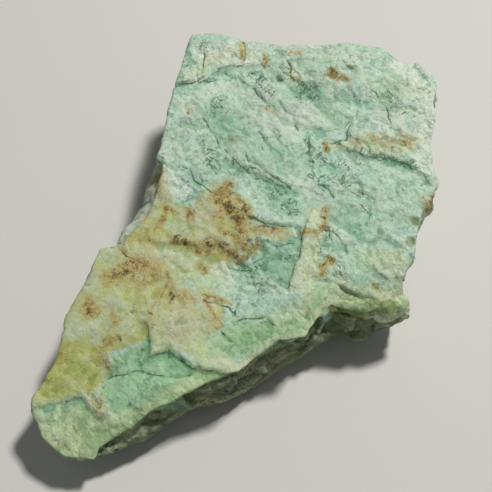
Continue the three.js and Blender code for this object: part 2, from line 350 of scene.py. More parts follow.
def noise(points, size, seed):
    """Random numbers of -1..1 at the corners of cubes of the given size, blended
    across each cube by t*t*(3 - 2t) along its three axes."""
    scaled = points / size
    base = np.floor(scaled)
    part = scaled - base
    part = part * part * (3 - 2 * part)
    total = np.zeros(points.shape[:-1])
    for corner in CORNERS:
        weight = np.where(corner == 1, part, 1 - part).prod(-1)
        total += weight * scatter(base + corner, seed)
    return 2 * total - 1


def rough_noise(points, size, seed, octaves=4):
    """Sum of noises, each half as wide and half as high as the last, turned between."""
    total = np.zeros(points.shape[:-1])
    spots = points
    for octave in range(octaves):
        total += noise(spots, size / 2 ** octave, seed + octave) / 2 ** octave
        spots = spots @ TURN_BETWEEN
    return total / ROUGH_SPAN


def drift(points, size, seed):
    """Three noises as a vector, for bending a pattern out of true."""
    return np.stack([noise(points, size, seed + i) for i in range(3)], -1)


def facets(points, size, seed, tilt, lift):
    """Broken facets. Each cube holds one random spot, and a point belongs to the
    nearest spot. Its height is size * (tilt * slope . way + lift * chance), the
    slope and chance being the spot's own."""
    scaled = points / size
    base = np.floor(scaled)
    nearest = np.full(points.shape[:-1], np.inf)
    height = np.zeros_like(nearest)
    for neighbour in NEIGHBOURS:
        cell = base + neighbour
        chances = [scatter(cell, seed + i) for i in range(7)]
        way = scaled - cell - np.stack(chances[:3], -1)
        slope = 2 * np.stack(chances[3:6], -1) - 1
        away = np.linalg.norm(way, axis=-1)
        own = tilt * (way * slope).sum(-1) + lift * (2 * chances[6] - 1)
        closer = away < nearest
        height = np.where(closer, own, height)
        nearest = np.where(closer, away, nearest)
    return height * size


# ------------------------------------------------------------------- markings
# Millimetres in plan unless said otherwise. Outlines of coloured ground: x and y
# of one corner after another.

GROUND = {
    "crust": (
        -7.5, 15.5, -6.5, 13, -7.5, 10, -8, 6, -5.5, 3, -3.5, 4.5, -1.5, 5, 1, 5.5, 2.5, 4, 3.5, 0.5,
        4, -2, 6.5, -5, 6.5, -10, 8, -12.5, 11, -14.5, 10.5, -15.5, 3.5, -12, 0, -11.5, -3.5, -13.5,
        -6.5, -15.5, -8, -19.5, -11, -21.5, -14.5, -25, -17.5, -27, -17, -30.5, -16.5, -34.5, -18.5, -35,
        -20, -33, -23, -30, -24.5, -28, -25, -26.5, -26.5, -24.5, -29, -24, -30.5, -23, -29, -20,
        -30.5, -19, -34, -19.5, -37, -19, -39, -20, -40.5, -22.5, -43, -24.5, -46, -23, -48, -22,
        -53, -21, -58, -19, -60, -15.5, -43.5, -3, -31.5, 6, -22, 10, -12, 14, -10.5, 16,
    ),
    "strip": (
        12, -16, 16, -11.5, 19, -12.5, 17, -17, 13, -21.5, 9.5, -26.5, 7, -29, 3.5, -28, 3, -25.5,
        6, -22.5, 9, -19,
    ),
    "band": (
        27.5, 1, 35, -1, 39.5, -4, 47, -9.5, 45, -12.5, 39.5, -12, 37.5, -9.5, 34.5, -7.5, 33, -4.5,
        27.5, -2,
    ),
    "plate": (
        14, 34.5, 17.5, 34, 24, 32, 26.5, 27.5, 25, 24, 22.5, 28, 19, 30, 14, 29.5, 12.5, 30,
    ),
    "lime": (
        -60, -18.5, -49.5, -9, -42.5, -12, -38.5, -16, -42.5, -24, -46, -22.5, -48, -22, -53, -21,
    ),
    "lime_patch": (
        -8.5, -9, -4.5, -10.5, -5.5, -13, -9, -12, -10, -10.5,
    ),
    "green": (
        -29, -20, -34, -19.5, -37, -19, -39, -20, -40.5, -22.5, -43, -24.5, -44, -28.5, -36, -33,
        -27.5, -37, -15, -38, -20, -33, -23, -30, -24.5, -28, -25, -26.5, -26.5, -24.5, -29, -24,
        -30.5, -23,
    ),
    "tip": (
        -58, -20, -53, -22.5, -46.5, -24, -44.5, -29, -37, -31, -30, -30.5, -22, -31, -18, -36, -36, -36,
        -50, -37, -59, -30,
    ),
    "recess": (
        0.5, -12, 3.5, -12, 10, -16, 9, -19, 3.5, -25, -1.5, -20.5, -6, -20, -3, -14,
    ),
}

# Where the ground has a mask other than the crust's: mask, outline, softness of
# its edge and strength.
GROUND_MARKS = (
    ("cream", "strip", 0.6, 0.65), ("cream", "band", 1.4, 0.6), ("cream", "plate", 0.8, 0.5),
    ("lime", "lime", 2.5, 1), ("lime", "lime_patch", 0.8, 0.8), ("green", "green", 0.3, 1),
    ("teal", "recess", 1.2, 0.8), ("moss", "tip", 2, 1),
)

# Ground where the break is finer, and how much.
CALM_GROUND = (("crust", 1), ("green", 0.7), ("tip", 0.8), ("strip", 0.7))

# Marks of each mask: strength, half width, then x and y along the path.
STROKES = {
    "teal": (
        (0.45, 4, 15, 13, 19, 6), (0.5, 2.6, 19.5, 1, 22.5, -2.5),
        (0.7, 2.2, -9.5, -27.5, -6, -31.5, -1.5, -33), (0.8, 1.2, 16, -20, 16.5, -23.5),
        (0.7, 1.2, -56, -19.5, -52.5, -22.5), (0.8, 1.6, 31, 15.5, 32.5, 11),
        (0.8, 1.2, 38.5, 20.5, 37.5, 17.5), (0.8, 3.2, 11.5, -3.5, 12.5, -9),
        (0.7, 1.6, 17.5, 30, 19.5, 25.5), (0.7, 3.4, 10, 19, 10.5, 12), (0.65, 3.4, 12.5, 6, 17.5, 1.5),
        (0.6, 2, 28.5, 15, 31, 9.5), (0.5, 2.4, 39, 7, 41, 3.5), (0.8, 1.6, 38, -10.5, 40, -13.5),
        (0.6, 2.8, 23.5, -17, 23, -23.5), (0.6, 1.8, 15.5, -21, 16, -25),
        (0.8, 2.6, -14, -30.5, -10.5, -32, -7, -32.5), (0.6, 2, 4, 8.5, 7, 4), (0.5, 2, 5, 30.5, 8, 27.5),
        (0.45, 3, 33.5, 21.5, 34.5, 17.5), (0.5, 1.6, 46, 3, 43.5, -2.5),
        (0.6, 2.4, 16.5, -28.5, 18, -32.5), (0.5, 2, 31.5, -22.5, 31.5, -25),
        (0.5, 2.6, 20.5, -9, 21.5, -12.5), (0.5, 2.6, -8.5, -17, -5, -17.5),
    ),
    "turquoise": (
        (0.8, 2, 17.5, 36.5, 21, 32.5), (1, 2.4, -4.5, 10.5, -5, 6), (0.7, 2, -6, -23, -3, -26),
        (0.8, 1.6, -18, -28, -17.5, -30.5), (0.6, 2, 22.5, -5, 23.5, -8.5), (0.7, 2, 26.5, -3, 27, -5.5),
        (0.9, 2.6, -25.5, -27, -24, -33), (0.6, 2.4, -29.5, -21.5, -32.5, -23),
    ),
    "aqua": (
        (0.6, 2.6, -14, -13.5, -10.5, -16, -7, -19.5), (0.7, 0.5, -16.5, -19, -16, -21.5),
        (0.8, 1.2, -18.5, -27.5, -18, -30),
    ),
    "lilac": (
        (0.8, 3.4, 18.5, 13, 21.5, 9, 26.5, 10), (0.8, 2.4, 42, -1, 44, -4),
        (0.4, 5, 0.5, 23.5, -2, 15.5), (0.6, 2, 29.5, -6.5, 28.5, -10), (0.7, 2.2, 19, -8, 21, -11),
        (0.7, 2.4, -22, -25, -19.5, -27.5), (0.6, 2.6, 20.5, 20, 21, 17.5),
        (0.5, 2.4, -5.5, -0.5, -5, 3.5), (0.5, 2.5, 20, -30.5, 23.5, -31.5),
    ),
    "iron": (
        (0.7, 1.1, -13, -2.5, -11.5, -5, -9.5, -7.5, -6.5, -8, -5, -11, -3.5, -13),
        (1, 1.2, -1, 1.5, -1, -2, 2.5, 2.5), (0.9, 1.3, -0.5, -1.5, 1, -5, 0.5, -7.5),
        (0.8, 1, 3, -2, 3, -5.5, 0.5, -6.5, 0.5, -9), (0.7, 1, -3.5, -7, -1.5, -9, -0.5, -12, 1.5, -13),
        (0.6, 1.2, -3, -2.5, -3, -5.5), (0.6, 1.2, -21.5, -8, -19.5, -10.5, -20, -14.5),
        (0.5, 1.6, -22, 2.5, -17.5, 2.5),
        (0.9, 0.45, -2.5, -10, -1, -11.5, -1, -13.5, -3.5, -14, -3.5, -12),
        (0.9, 0.7, -11.5, -11, -10.5, -12, -11.5, -12.5),
        (0.9, 1.4, -30.5, -3.5, -28, -3.5, -25, -3.5, -22, -4, -21, -6),
        (0.7, 1.6, -25.5, -4, -24.5, -7.5, -22, -7.5), (0.9, 1.2, -37, -6.5, -37, -8.5),
        (0.5, 1, -46.5, -12.5, -47, -14.5), (0.9, 0.7, -33.5, -11.5, -33, -13),
        (0.9, 0.7, -11, 5, -14.5, 1.5), (0.7, 0.6, -10.5, 3.5, -10, 2), (0.8, 0.6, -7, 2, -8, -0.5),
        (0.6, 1.1, -20.5, 2.5, -20, 1.5), (0.6, 1.1, -18, 0, -18, -1.5), (0.7, 1.2, -21, 7, -22, 3.5),
        (0.6, 1.2, -16, 8, -16.5, 5), (0.6, 0.8, -24.5, 1, -24, -2.5),
        (0.75, 0.6, -14.5, -19, -14.5, -22, -15, -25), (0.8, 0.4, -14, -17.5, -11, -19.5, -9.5, -21.5),
        (1, 0.8, 38, 14, 38, 12.5), (0.8, 0.5, 39, 12, 39.5, 10.5), (0.8, 0.7, 27, 0, 27, -1.5),
        (0.5, 0.8, 33.5, -3, 33.5, -4.5), (0.4, 1.6, 37, -4, 40.5, -7, 44, -10),
        (0.9, 0.8, 13.5, -24.5, 12, -25, 10.5, -26.5), (0.8, 0.6, 19, -34, 19.5, -34.5),
        (0.7, 0.5, 24.5, 32.5, 22.5, 29), (0.5, 0.4, 15, 35.5, 12.5, 30.5),
        (0.7, 0.5, 26.5, 27.5, 25.5, 24.5), (0.7, 0.7, 19, -13.5, 17, -17, 15, -17.5, 12, -16.5),
        (0.6, 0.7, 1.5, -8, 4, -11, 8, -12.5), (0.5, 0.6, 5, 23.5, 5, 22), (0.5, 0.5, 9, 11.5, 10.5, 10),
        (0.5, 0.8, 33, 24, 34, 22.5), (0.5, 0.8, 21, 14.5, 21.5, 13), (0.5, 1, -35.5, -15.5, -39.5, -17),
        (0.5, 1, -40.5, -16.5, -39, -20.5), (0.5, 0.8, -25, -12.5, -26.5, -16.5),
        (0.7, 0.6, -7.5, 14.5, -9.5, 11.5), (0.6, 0.7, -45, -24.5, -45, -28),
        (0.6, 1.2, -17, -14.5, -17.5, -17), (0.5, 1.2, -19, -10.5, -22.5, -13),
    ),
    "umber": (
        (1, 0.9, -0.5, -2.5, 0, -5), (0.8, 0.6, -12.5, -2.5, -11, -5, -10.5, -7),
        (0.8, 0.6, -0.5, -1.5, 1.5, -3, 2.5, -5), (0.8, 0.4, -1, -7, 1, -11.5, 1.5, -13),
        (0.7, 0.5, -3.5, -7, -1.5, -9), (0.8, 0.5, 3, -2, 3, -5.5),
        (0.7, 0.5, -7.5, -7.5, -5.5, -9, -4.5, -11, -4, -13.5), (0.7, 0.5, 3, 2, 2.5, 0),
        (0.6, 0.5, -1, 1, -2, -0.5), (0.9, 0.5, -20, -9, -19, -10), (0.9, 0.6, -20, -13, -19.5, -14.5),
        (0.8, 0.4, -25.5, -15.5, -25.5, -17), (1, 0.35, -27, -18, -26.5, -18.5),
        (0.8, 0.4, -34, -16, -34.5, -17), (0.8, 0.5, -30, -12.5, -28, -12),
        (0.7, 0.5, 3, -8, 5, -10, 7.5, -12), (0.7, 0.45, 5, -10, 3, -11.5, 4, -13),
        (0.9, 0.45, -4, -12.5, -3.5, -14), (0.7, 0.5, -28, -4, -25.5, -4), (0.8, 0.35, 38, 13, 38, 12.5),
        (0.7, 0.4, 27, -0.5, 27, -1), (0.6, 0.4, -11, -11, -10.5, -12),
        (0.6, 0.35, -21.5, -16, -21, -16.5), (0.6, 0.35, -24.5, -16, -24.5, -16.5),
        (0.8, 0.35, 19, -14, 18, -15.5), (0.6, 0.45, -24.5, -2, -23.5, -4),
        (0.7, 0.5, -38, -6.5, -37.5, -8),
    ),
    "hackled": (
        (1, 1.3, 23, 23.5, 22.5, 18.5), (1, 1.4, 29.5, 20.5, 31, 11.5),
        (0.6, 2.5, 11.5, 23.5, 10.5, 16, 13, 13), (1, 1.1, 3.5, 14.5, 2.5, 7.5),
        (1, 0.9, 7, 6, 10, 0.5, 12.5, -2.5), (0.8, 0.9, 19, 6, 20, 3), (1, 0.9, 24.5, 3.5, 20.5, -5),
        (1, 1.4, 21.5, -7, 27, -9, 27, -14.5), (0.9, 0.9, 24.5, -2, 28.5, -7, 30, -10),
        (0.5, 0.9, 10, 35, 11.5, 33.5), (0.4, 2.2, -5, 10, -4.5, 3), (0.5, 1.8, 39, 8, 42, 4),
        (0.8, 0.9, 46.5, 3.5, 46.5, -3), (1, 0.9, 33.5, -5.5, 37, -10, 41.5, -15),
        (0.9, 1.8, 11.5, -4, 12.5, -9.5), (0.8, 0.9, 26.5, -17, 26.5, -20.5),
        (0.8, 1.4, -2, -12, 1, -16.5), (0.7, 2.5, -1.5, -15, -2.5, -22.5),
        (0.8, 1.4, 13.5, -27, 14.5, -32.5), (0.7, 1.1, 15, -17.5, 12.5, -24.5),
        (0.4, 2.5, -26, -20, -16, -23.5), (0.4, 2.5, -38.5, -24, -34.5, -30.5),
        (0.5, 1.8, 9, -32, 14, -32.5), (0.6, 1.8, 5.5, -12.5, 6, -20), (0.8, 1.1, 14.5, 36.5, 15, 33.5),
        (0.7, 1.4, 25.5, 25, 27, 22), (0.5, 2.5, 3, -2, 4, -6.5),
    ),
    "olive": (
        (0.8, 0.8, 26.5, 20, 27, 19), (0.8, 0.7, 41.5, 13.5, 42.5, 12.5),
        (0.7, 0.5, 23, 30.5, 22.5, 28.5), (0.5, 1.5, 13, -36, 17, -36.5),
    ),
    "lime": (
        (0.4, 1.6, -53.5, -25.5, -49.5, -31), (0.4, 1, 12, -33, 18, -36.5, 22, -38),
    ),
    "moss": (
        (0.8, 2.8, -20, -28.5, -11.5, -30, -4, -31.5, 4.5, -32.5, 10, -31),
        (0.8, 2.2, 10, -31.5, 14, -34, 20, -37.5), (0.5, 3, 20, -28, 26, -31),
    ),
    # The green band along the front edge, painted darker as shade where the face bends down to the rim.
    "spring": (
        (0.9, 2.4, -15, -30, -10.5, -31, -6, -31.5), (0.7, 1.8, -3.5, -32, 2, -32.5, 7, -30.5),
        (0.6, 2.6, -14, -27, -8, -27.5), (0.6, 2, 14, -33, 17, -35.5), (0.5, 2.4, -12, -24.5, -13, -27),
        (0.45, 3, -35.5, -25.5, -33, -29.5),
    ),
    "chalk": (
        (0.9, 2.8, 53, 6.5, 53.5, -2, 49.5, -9.5, 44.5, -15), (0.6, 3, 41.5, -4, 44, -10.5),
        (0.9, 2.6, 15, 34, 19.5, 32, 23, 28.5), (0.7, 2.4, -7, 11, -6, 7),
        (0.5, 3, 46, 14, 38, 20, 30, 26), (0.5, 2.4, 9, 31, 12, 26), (0.3, 1.2, -22, -25, -20.5, -27.5),
        (0.4, 2.6, -16.5, -3.5, -13, -9), (0.55, 3, -8.5, -13.5, -4.5, -18),
    ),
    "cream": (
        (1, 1.5, 20.5, -37.5, 22.5, -39, 23.5, -41), (1, 1.5, 22.5, -39, 25, -37.5),
        (0.6, 1.6, 12, -32.5, 18, -36, 21, -38), (0.7, 1.8, 30, 19.5, 31, 17.5),
        (0.65, 2.2, 5.5, -28, 2.5, -32), (0.5, 2.6, 13, -31.5, 16, -35.5), (0.7, 1, -43, -24, -44, -28.5),
        (0.9, 1.1, -46, -22.5, -45.5, -27.5), (0.6, 3, 23, -30, 26, -33.5),
        (0.4, 3.2, 48.5, 5.5, 51, 0.5), (0.5, 2, 8, 34, 11.5, 30.5), (0.4, 1.6, -3, -30, -1.5, -33.5),
        (0.6, 0.4, 36.5, 12.5, 33.5, 8, 30, 3.5, 26.5, -1.5), (0.4, 3, 40, 16, 44, 8, 46, 0),
        (0.75, 0.9, -18, -35.3, -12, -34.6, -5, -33.4, 0.5, -35.5, 5, -33.2, 9, -31.5),
        (0.8, 1.4, -18.5, -31.5, -17, -34.5), (0.5, 1.4, -56.5, -24.5, -55, -28),
        (0.7, 1.5, -57, -28.5, -54.5, -31, -51, -33),
    ),
}

# Cracks: depth, half width, then x and y along the path.
SEAMS = (
    (0.5, 0.3, 25, 3.5, 23.5, 0.5, 20.5, -5.5), (0.6, 0.35, 25.5, -10, 27, -10.5, 29.5, -12, 28, -14.5),
    (0.4, 0.3, 17, -18, 18, -18.5, 18, -23, 17.5, -25), (0.5, 0.35, 12.5, -30.5, 13.5, -32.5, 15.5, -35),
    (0.5, 0.3, 26.5, -17.5, 27, -19.5, 26, -20.5), (0.6, 0.4, 20, 23.5, 21, 20.5, 21.5, 17),
    (0.5, 0.35, 31, 23, 30, 17.5, 31.5, 14), (0.5, 0.3, 21.5, -8, 22.5, -9.5, 22.5, -12),
    (0.35, 0.25, 24.5, 33, 22.5, 28), (0.3, 0.25, 15, 35.5, 12.5, 30),
    (0.3, 0.25, -24.5, 1.5, -24, -1, -23, -3),
    (0.45, 0.3, 3.5, -6.5, 6, -9.5, 8.5, -12, 11, -13.5, 11, -15.5, 10.5, -18),
    (0.5, 0.35, 10, 6, 11.5, 1.5, 13.5, -1.5, 14.5, -5.5), (0.35, 0.3, 17.5, 30, 17.5, 28),
    (0.3, 0.25, 6, 32, 10.5, 28.5, 17.5, 26), (0.4, 0.3, 7, 9.5, 7.5, 6.5, 8.5, 4),
    (0.45, 0.35, 5, 30.5, 8, 29.5, 12, 29, 15, 29.5),
    (0.4, 0.3, -14, -18.5, -10.5, -22, -10, -24, -8.5, -22.5),
    (0.3, 0.25, -10, -25.5, -5.5, -28, -4.5, -30.5), (0.4, 0.35, -15, -26.5, -14, -29.5),
    (0.3, 0.3, 1, -30.5, 2.5, -32.5), (0.5, 0.35, 35, -4.5, 35, -7.5, 37.5, -9.5),
    (0.35, 0.3, 43.5, 5.5, 44, 1, 43, -4), (0.4, 0.3, -3, -10.5, -3, -14, -2.5, -16),
    (0.35, 0.3, 17.5, -18, 14.5, -23), (0.5, 0.35, -3.5, -20, -3, -23),
    (0.4, 0.3, 4, -13, 5.5, -15.5, 8, -16.5), (0.3, 0.25, -5.5, -14, -4, -16, -2, -17),
    (0.4, 0.3, 24, 14.5, 24.5, 11, 24, 7), (0.35, 0.3, 16, 9.5, 15.5, 5.5, 17, 3),
    (0.35, 0.3, 6.5, 19, 7, 15, 6, 12), (0.35, 0.3, 34.5, 0.5, 32, -1.5, 28.5, 0),
    (0.3, 0.25, -26, -23.5, -27, -25), (0.3, 0.25, -40, -22.5, -35, -24.5, -32, -26),
    (0.3, 0.3, -32, -26, -30, -29, -25, -31), (0.4, 0.3, -3, 11, -2, 6.5, -0.5, 3),
)

# Marks of the walls and the rim, with x, y and height along the path.
WALL_STROKES = {
    "chalk": (
        (0.7, 1.8, 43.8, -19.2, 23.4, 42.6, -21, 22), (0.5, 3, 52, -9, 20, 55, -3, 18),
        (0.5, 2.5, -30, 2.5, 14, -25, 4, 17), (0.8, 2.4, -10.5, 12, 20, -14, 8.5, 19, -24, 5, 18.8),
    ),
    "cream": (
        # The first three marks pale the front wall towards its foot: partly painted light where the wall
        # slopes out, partly its paler crystal edge.
        (0.45, 1.6, -49, -33.5, 8, -45, -33.8, 8, -40, -33.5, 8.4),
        (0.5, 1.3, -37, -34, 5.5, -27, -33.5, 5.5, -18, -35.5, 4.5, -10, -35.2, 4.5),
        (0.25, 1.3, -4, -34.5, 5.5, 4, -35.5, 8.5, 8.5, -36, 10.5),
        (1, 1.8, 22.5, -40, 16.8, 24.8, -39.5, 15, 25.4, -38.5, 13),
        (1, 1.1, 17, -38.5, 14.8, 20, -40.3, 15, 23, -41, 14), (0.5, 2.6, -27, 4.5, 17, -30.5, 3.4, 13),
        (0.4, 2.5, -8, 18, 12, -4, 24, 9),
    ),
    "teal": (
        (0.9, 2.2, -8, -34.5, 17, -3.5, -34.5, 17), (0.7, 1.6, -29.6, -33.1, 10, -33.4, -33.5, 13),
    ),
    "turquoise": (
        (0.9, 1, 7.2, -33, 19, 7.8, -33, 14), (0.6, 2, -16, 7, 19, -19, 6.8, 18.5, -22, 5, 18.8),
        (0.8, 1.4, 42, -21.2, 23), (0.8, 1.8, 28.5, -29.5, 22, 26.5, -31.5, 21.5),
    ),
    "iron": (
        (0.45, 1.1, 22, -39.2, 10.5, 24, -40.3, 10.5), (1, 1.5, 40.3, -23, 22.4),
        (0.6, 1.2, -8, 16.6, 17, -9.5, 14, 20), (0.7, 1.4, -11.1, 10.7, 21.8, -8.5, 13, 23),
    ),
    "umber": (
        (1, 0.8, 40.6, -23.4, 21.2), (0.6, 1, -8.5, 15.5, 15),
    ),
    "olive": (
        # The second olive mark darkens the front wall under its rim: painted shade.
        (1, 0.9, 19.2, -38.3, 17.6, 20.8, -39.3, 17), (0.9, 2, 9.5, -34, 16, 13.5, -36.5, 16.5),
        (0.7, 2.2, 17, -37.5, 9, 20.5, -39.5, 10, 23.5, -40.5, 9.5), (0.9, 1.2, 35.2, -25.6, 22.6),
        (0.9, 1.3, 31.6, -29.2, 22),
    ),
    "druse": (
        (1, 1.6, -18, -35.6, 8.8, -14, -35.8, 8.8), (0.8, 1, -1.5, -35, 10, 1, -35.5, 9),
        (0.7, 1.3, 30, 29, 9, 36, 25, 7),
    ),
    "glassy": (
        (1, 1.1, 18.8, -38, 16.8, 20.6, -39.2, 15.8),
        (0.5, 1.6, 17, -38, 12, 20.5, -40, 11.5, 23, -40.6, 11.5),
        (0.6, 1.6, 28.5, -29.5, 22, 26.5, -31.5, 21.5),
    ),
}

# The face bends down at its front edge: how far, over what breadth, and from
# which x to which it comes in.
FRONT_BEND = (0.9, 4.0, -30, -15)

# Small pits of the face, and its worn front corner: x, y, radius, depth.
PITS = (
    (38, 13.5, 1.3, 0.9), (27, 19.5, 0.8, 0.6), (42, 13, 0.9, 0.5), (27, -1, 0.8, 0.6),
    (13, -25, 0.8, 0.5), (0, -3.5, 1, 0.6), (-3.5, -13, 0.7, 0.5), (39, 11, 0.7, 0.4),
)
WORN_CORNER = (24, -41.5, 5.2, 2.6)

# Round lumps of the rim, on its right and at the front corner: centre and radius.
# The radius wavers by a share of itself, and a point nearer the centre than the
# core is pushed less far.
LUMPS = (
    (43.4, -19.3, 23, 2.1), (41.8, -21.3, 22.3, 1.5), (40, -23, 21.9, 1.5), (20.4, -36.6, 14.4, 3.9),
    (23, -38.6, 15.4, 2.3), (16.4, -35.4, 12.6, 3), (22.2, -38, 12.2, 3), (23, -38.3, 13.4, 2.7),
)
LUMP_WAVER = 0.14
LUMP_SEED = 191
LUMP_CORE = 0.2


# ----------------------------------------------------------------------- mesh
# Millimetres. A bend is a list of drifts: how far, cell size and seed.

GRAIN_BEND = ((1.1, 5.0, 21), (0.35, 1.5, 31))
CHUNK_BEND = ((1.6, 6.0, 141),)
CRACK_BEND = ((0.5, 2.4, 97),)
PLAN_BEND = ((0.7, 3.0, 91), (0.3, 0.9, 95))
SPACE_BEND = ((0.6, 2.0, 91),)
LAST_BEND = ((0.45, 5.0, 111), (0.2, 1.7, 121))

# Facets of the break: cell size, seed, tilt and lift. On the face, also how much
# of them calm ground takes away.
FACE_FACETS = ((8.0, 41, 0.035, 0.015, 0.4), (3.4, 51, 0.06, 0.035, 0.4), (1.5, 61, 0.11, 0.045, 0.6))
WALL_FACETS = ((11.0, 151, 0.10, 0.03), (5.0, 161, 0.07, 0.03))
UNDER_FACETS = ((7.0, 171, 0.16, 0.05),)
POWDER_HEIGHT = 0.05
POWDER_NOISE = (1.1, 71, 3)

# The grain of the break, along which its patterns are drawn out.
STRETCH_HEADING = math.radians(-75)
STRETCH = 1.7

# Ragged line of the broken steps and of coloured ground; the crust's own.
RAGGED_FAR = 0.55
RAGGED_NOISE = (2.6, 11, 3)
CRUST_FAR = 2.2
CRUST_NOISE = (7.0, 131, 4)
CRUST_EDGE = (-1.6, 1.8)

# Reach of marks in their half widths, and the darkened strip along cracks and along the painted shadow lines
# at the foot of sharp steps.
MARK_REACH = 2.4
CRACK_AND_STEP_SHADOW_SPAN = 1.5
CRACK_AND_STEP_SHADOW_NEAR = (0.35, 0.75)

# Cracks and pits as cut: share of the depth, reach in half widths, flat floor.
SEAM_CUT = 0.7
SEAM_REACH = 1.5
PIT_FLOOR = 0.3

# Wear of the rim, and the uneven share of it.
WEAR_BREADTH = 0.8
WEAR_SHARE = (0.7, 0.6)
WEAR_NOISE = (4.0, 101)

# The break of the walls fades at their edges, and stands out less than it falls in.
WALL_FADE = (0.15, 0.8)
OUTWARD_FROM = 0.3
OUTWARD_SHARE = 0.4
UNDER_SHARE = 0.5
UNDER_FADE = 1.5

# How far round the mean height is taken, in cells, and its share.
FACE_STANDING = ((3, 1.0), (8, 0.5))
WALL_STANDING = ((2, 0.6), (5, 0.3))

# Stations where the painted shade of the front wall begins and ends, and the shares of the way in over which
# it fades on the underside.
SHADE_START = (0.03, 0.1)
SHADE_END = (0.97, 1.02)
SHADE_UNDER = (0.15, 0.6)

# Levels between which the walls turn into the face, and the edge of calm ground.
RIM_LEVEL = (0.94, 1.02)
CALM_EDGE = (-0.5, 1.5)


def bend(points, drifts):
    """Points pushed out of true by the sum of the given drifts."""
    return points + sum(far * drift(points, size, seed) for far, size, seed in drifts)


def crack_plan(points):
    """The plan, bent out of true for the paths of cracks."""
    return bend(points * FLAT, CRACK_BEND)[:, :2]


def path_distance(points, path):
    """Shortest way from each point to a path: for each straight piece of it, the
    foot of the perpendicular, held between the two ends of the piece."""
    path = np.reshape(path, (-1, points.shape[-1]))
    starts, ends = (path[:-1], path[1:]) if len(path) > 1 else (path, path)
    best = np.full(points.shape[:-1], np.inf)
    for start, end in zip(starts, ends):
        along = end - start
        share = np.clip((points - start) @ along / max(along @ along, 1e-9), 0, 1)
        best = np.minimum(best, np.linalg.norm(points - start - share[..., None] * along, axis=-1))
    return best


def stroke_mask(points, strokes):
    """Largest of strength * (1 - smooth step of the distance over the reach)."""
    mask = np.zeros(points.shape[:-1])
    for strength, width, *path in strokes:
        away = path_distance(points, path)
        mask = np.maximum(mask, strength * (1 - smooth(away, 0, MARK_REACH * width)))
    return mask


def crack_and_step_shadow_lines(points, ragged):
    """For each straight piece of a crack, and for the foot of each sharp step where a painted shadow line
    runs: how far each point is to the left of it, and how far from it."""
    plan = crack_plan(points)
    for _, _, *path in SEAMS:
        path = np.reshape(path, (-1, 2))
        for start, end in zip(path[:-1], path[1:]):
            yield offset_from_line(start, end, *plan.T)[1], path_distance(plan, (start, end))
    for _, _, *path in LEDGES[:SHARP_LEDGES]:
        beyond, at, length = beyond_path(path, points[:, 0], points[:, 1])
        off = beyond + ragged + STEP_SHADOW_OFFSET
        yield off, np.where((at > 0) & (at < length), np.abs(off), np.inf)


def crack_side(points, ragged):
    """How far each point is to the left of the nearest crack line or painted step shadow line, and how far
    from it.
    """
    best = np.full(len(points), np.inf)
    side = np.zeros(len(points))
    for off, away in crack_and_step_shadow_lines(points, ragged):
        side = np.where(away < best, off, side)
        best = np.minimum(best, away)
    return np.clip(side, -CRACK_AND_STEP_SHADOW_SPAN, CRACK_AND_STEP_SHADOW_SPAN), best


def inside_distance(points, outline):
    """Shortest way to the sides of a closed outline, positive inside it. A point is
    inside where a ray along +X from it crosses the sides an odd number of times."""
    corners = np.reshape(outline, (-1, 2))
    x, y = points[..., 0], points[..., 1]
    odd = np.zeros(x.shape, bool)
    for (ax, ay), (bx, by) in zip(corners, np.roll(corners, -1, 0)):
        if ay != by:
            odd ^= ((ay > y) != (by > y)) & (x < ax + (y - ay) * (bx - ax) / (by - ay))
    away = path_distance(points[..., :2], np.vstack([corners, corners[:1]]))
    return np.where(odd, away, -away)


def lump_grid(cells_along, cells_across, wall_rows, under_rows):
    """The lump as a cap and a skirt. The cap is a grid of u by v. The skirt has one
    column for each edge point of the cap and one row for each level: first down the
    wall, then inward over the underside along lines to the middle of the sheet."""
    u, v = np.meshgrid(np.linspace(0, 1, cells_along + 1), np.linspace(0, 1, cells_across + 1))
    along = np.arange(cells_along) / cells_along
    across = np.arange(cells_across) / cells_across
    share = {"front": along, "right": across, "back": 1 - along, "left": 1 - across}
    edge_u = np.concatenate([along, np.ones_like(across), 1 - along, np.zeros_like(across)])
    edge_v = np.concatenate([np.zeros_like(along), across, np.ones_like(along), 1 - across])
    level = 1 - np.arange(1, wall_rows + 1) / wall_rows
    wall = np.concatenate([wall_point(side, share[side][None, :], level[:, None]) for side in RIM], 1)
    station = np.concatenate([STATION[side](share[side]) for side in RIM])

    def underside(u, v):
        point = sheet_point(u, v, 0.0)
        point[..., 2] = underside_height(u, v, point)
        return point

    inward = (np.arange(1, under_rows) / under_rows)[:, None]
    under = underside(edge_u + (0.5 - edge_u) * inward, edge_v + (0.5 - edge_v) * inward)
    middle = underside(np.array([0.5]), np.array([0.5]))
    return u, v, station, level, (sheet_point(u, v, 1.0), wall, under, middle)


def lump_faces(cells_along, cells_across, skirt_rows):
    """Four corners of every cell, counted anticlockwise from outside, and the three
    of the triangles that close the middle of the underside; also the cap's edge."""
    i, j = np.meshgrid(np.arange(cells_along), np.arange(cells_across))
    width = cells_along + 1
    low = (j * width + i).ravel()
    cap = np.stack([low, low + 1, low + 1 + width, low + width], -1)
    along, across = np.arange(cells_along), np.arange(cells_across)
    ring = np.concatenate([
        along, across * width + cells_along,
        cells_across * width + cells_along - along, (cells_across - across) * width,
    ])
    count = len(ring)
    first = width * (cells_across + 1)
    rows = np.vstack([ring, first + np.arange(skirt_rows * count).reshape(skirt_rows, count)])
    after = np.roll(rows, -1, 1)
    skirt = np.stack([rows[:-1], rows[1:], after[1:], after[:-1]], -1).reshape(-1, 4)
    close = np.stack([rows[-1], np.full(count, first + skirt_rows * count), after[-1]], -1)
    return cap.tolist() + skirt.tolist() + close.tolist(), ring


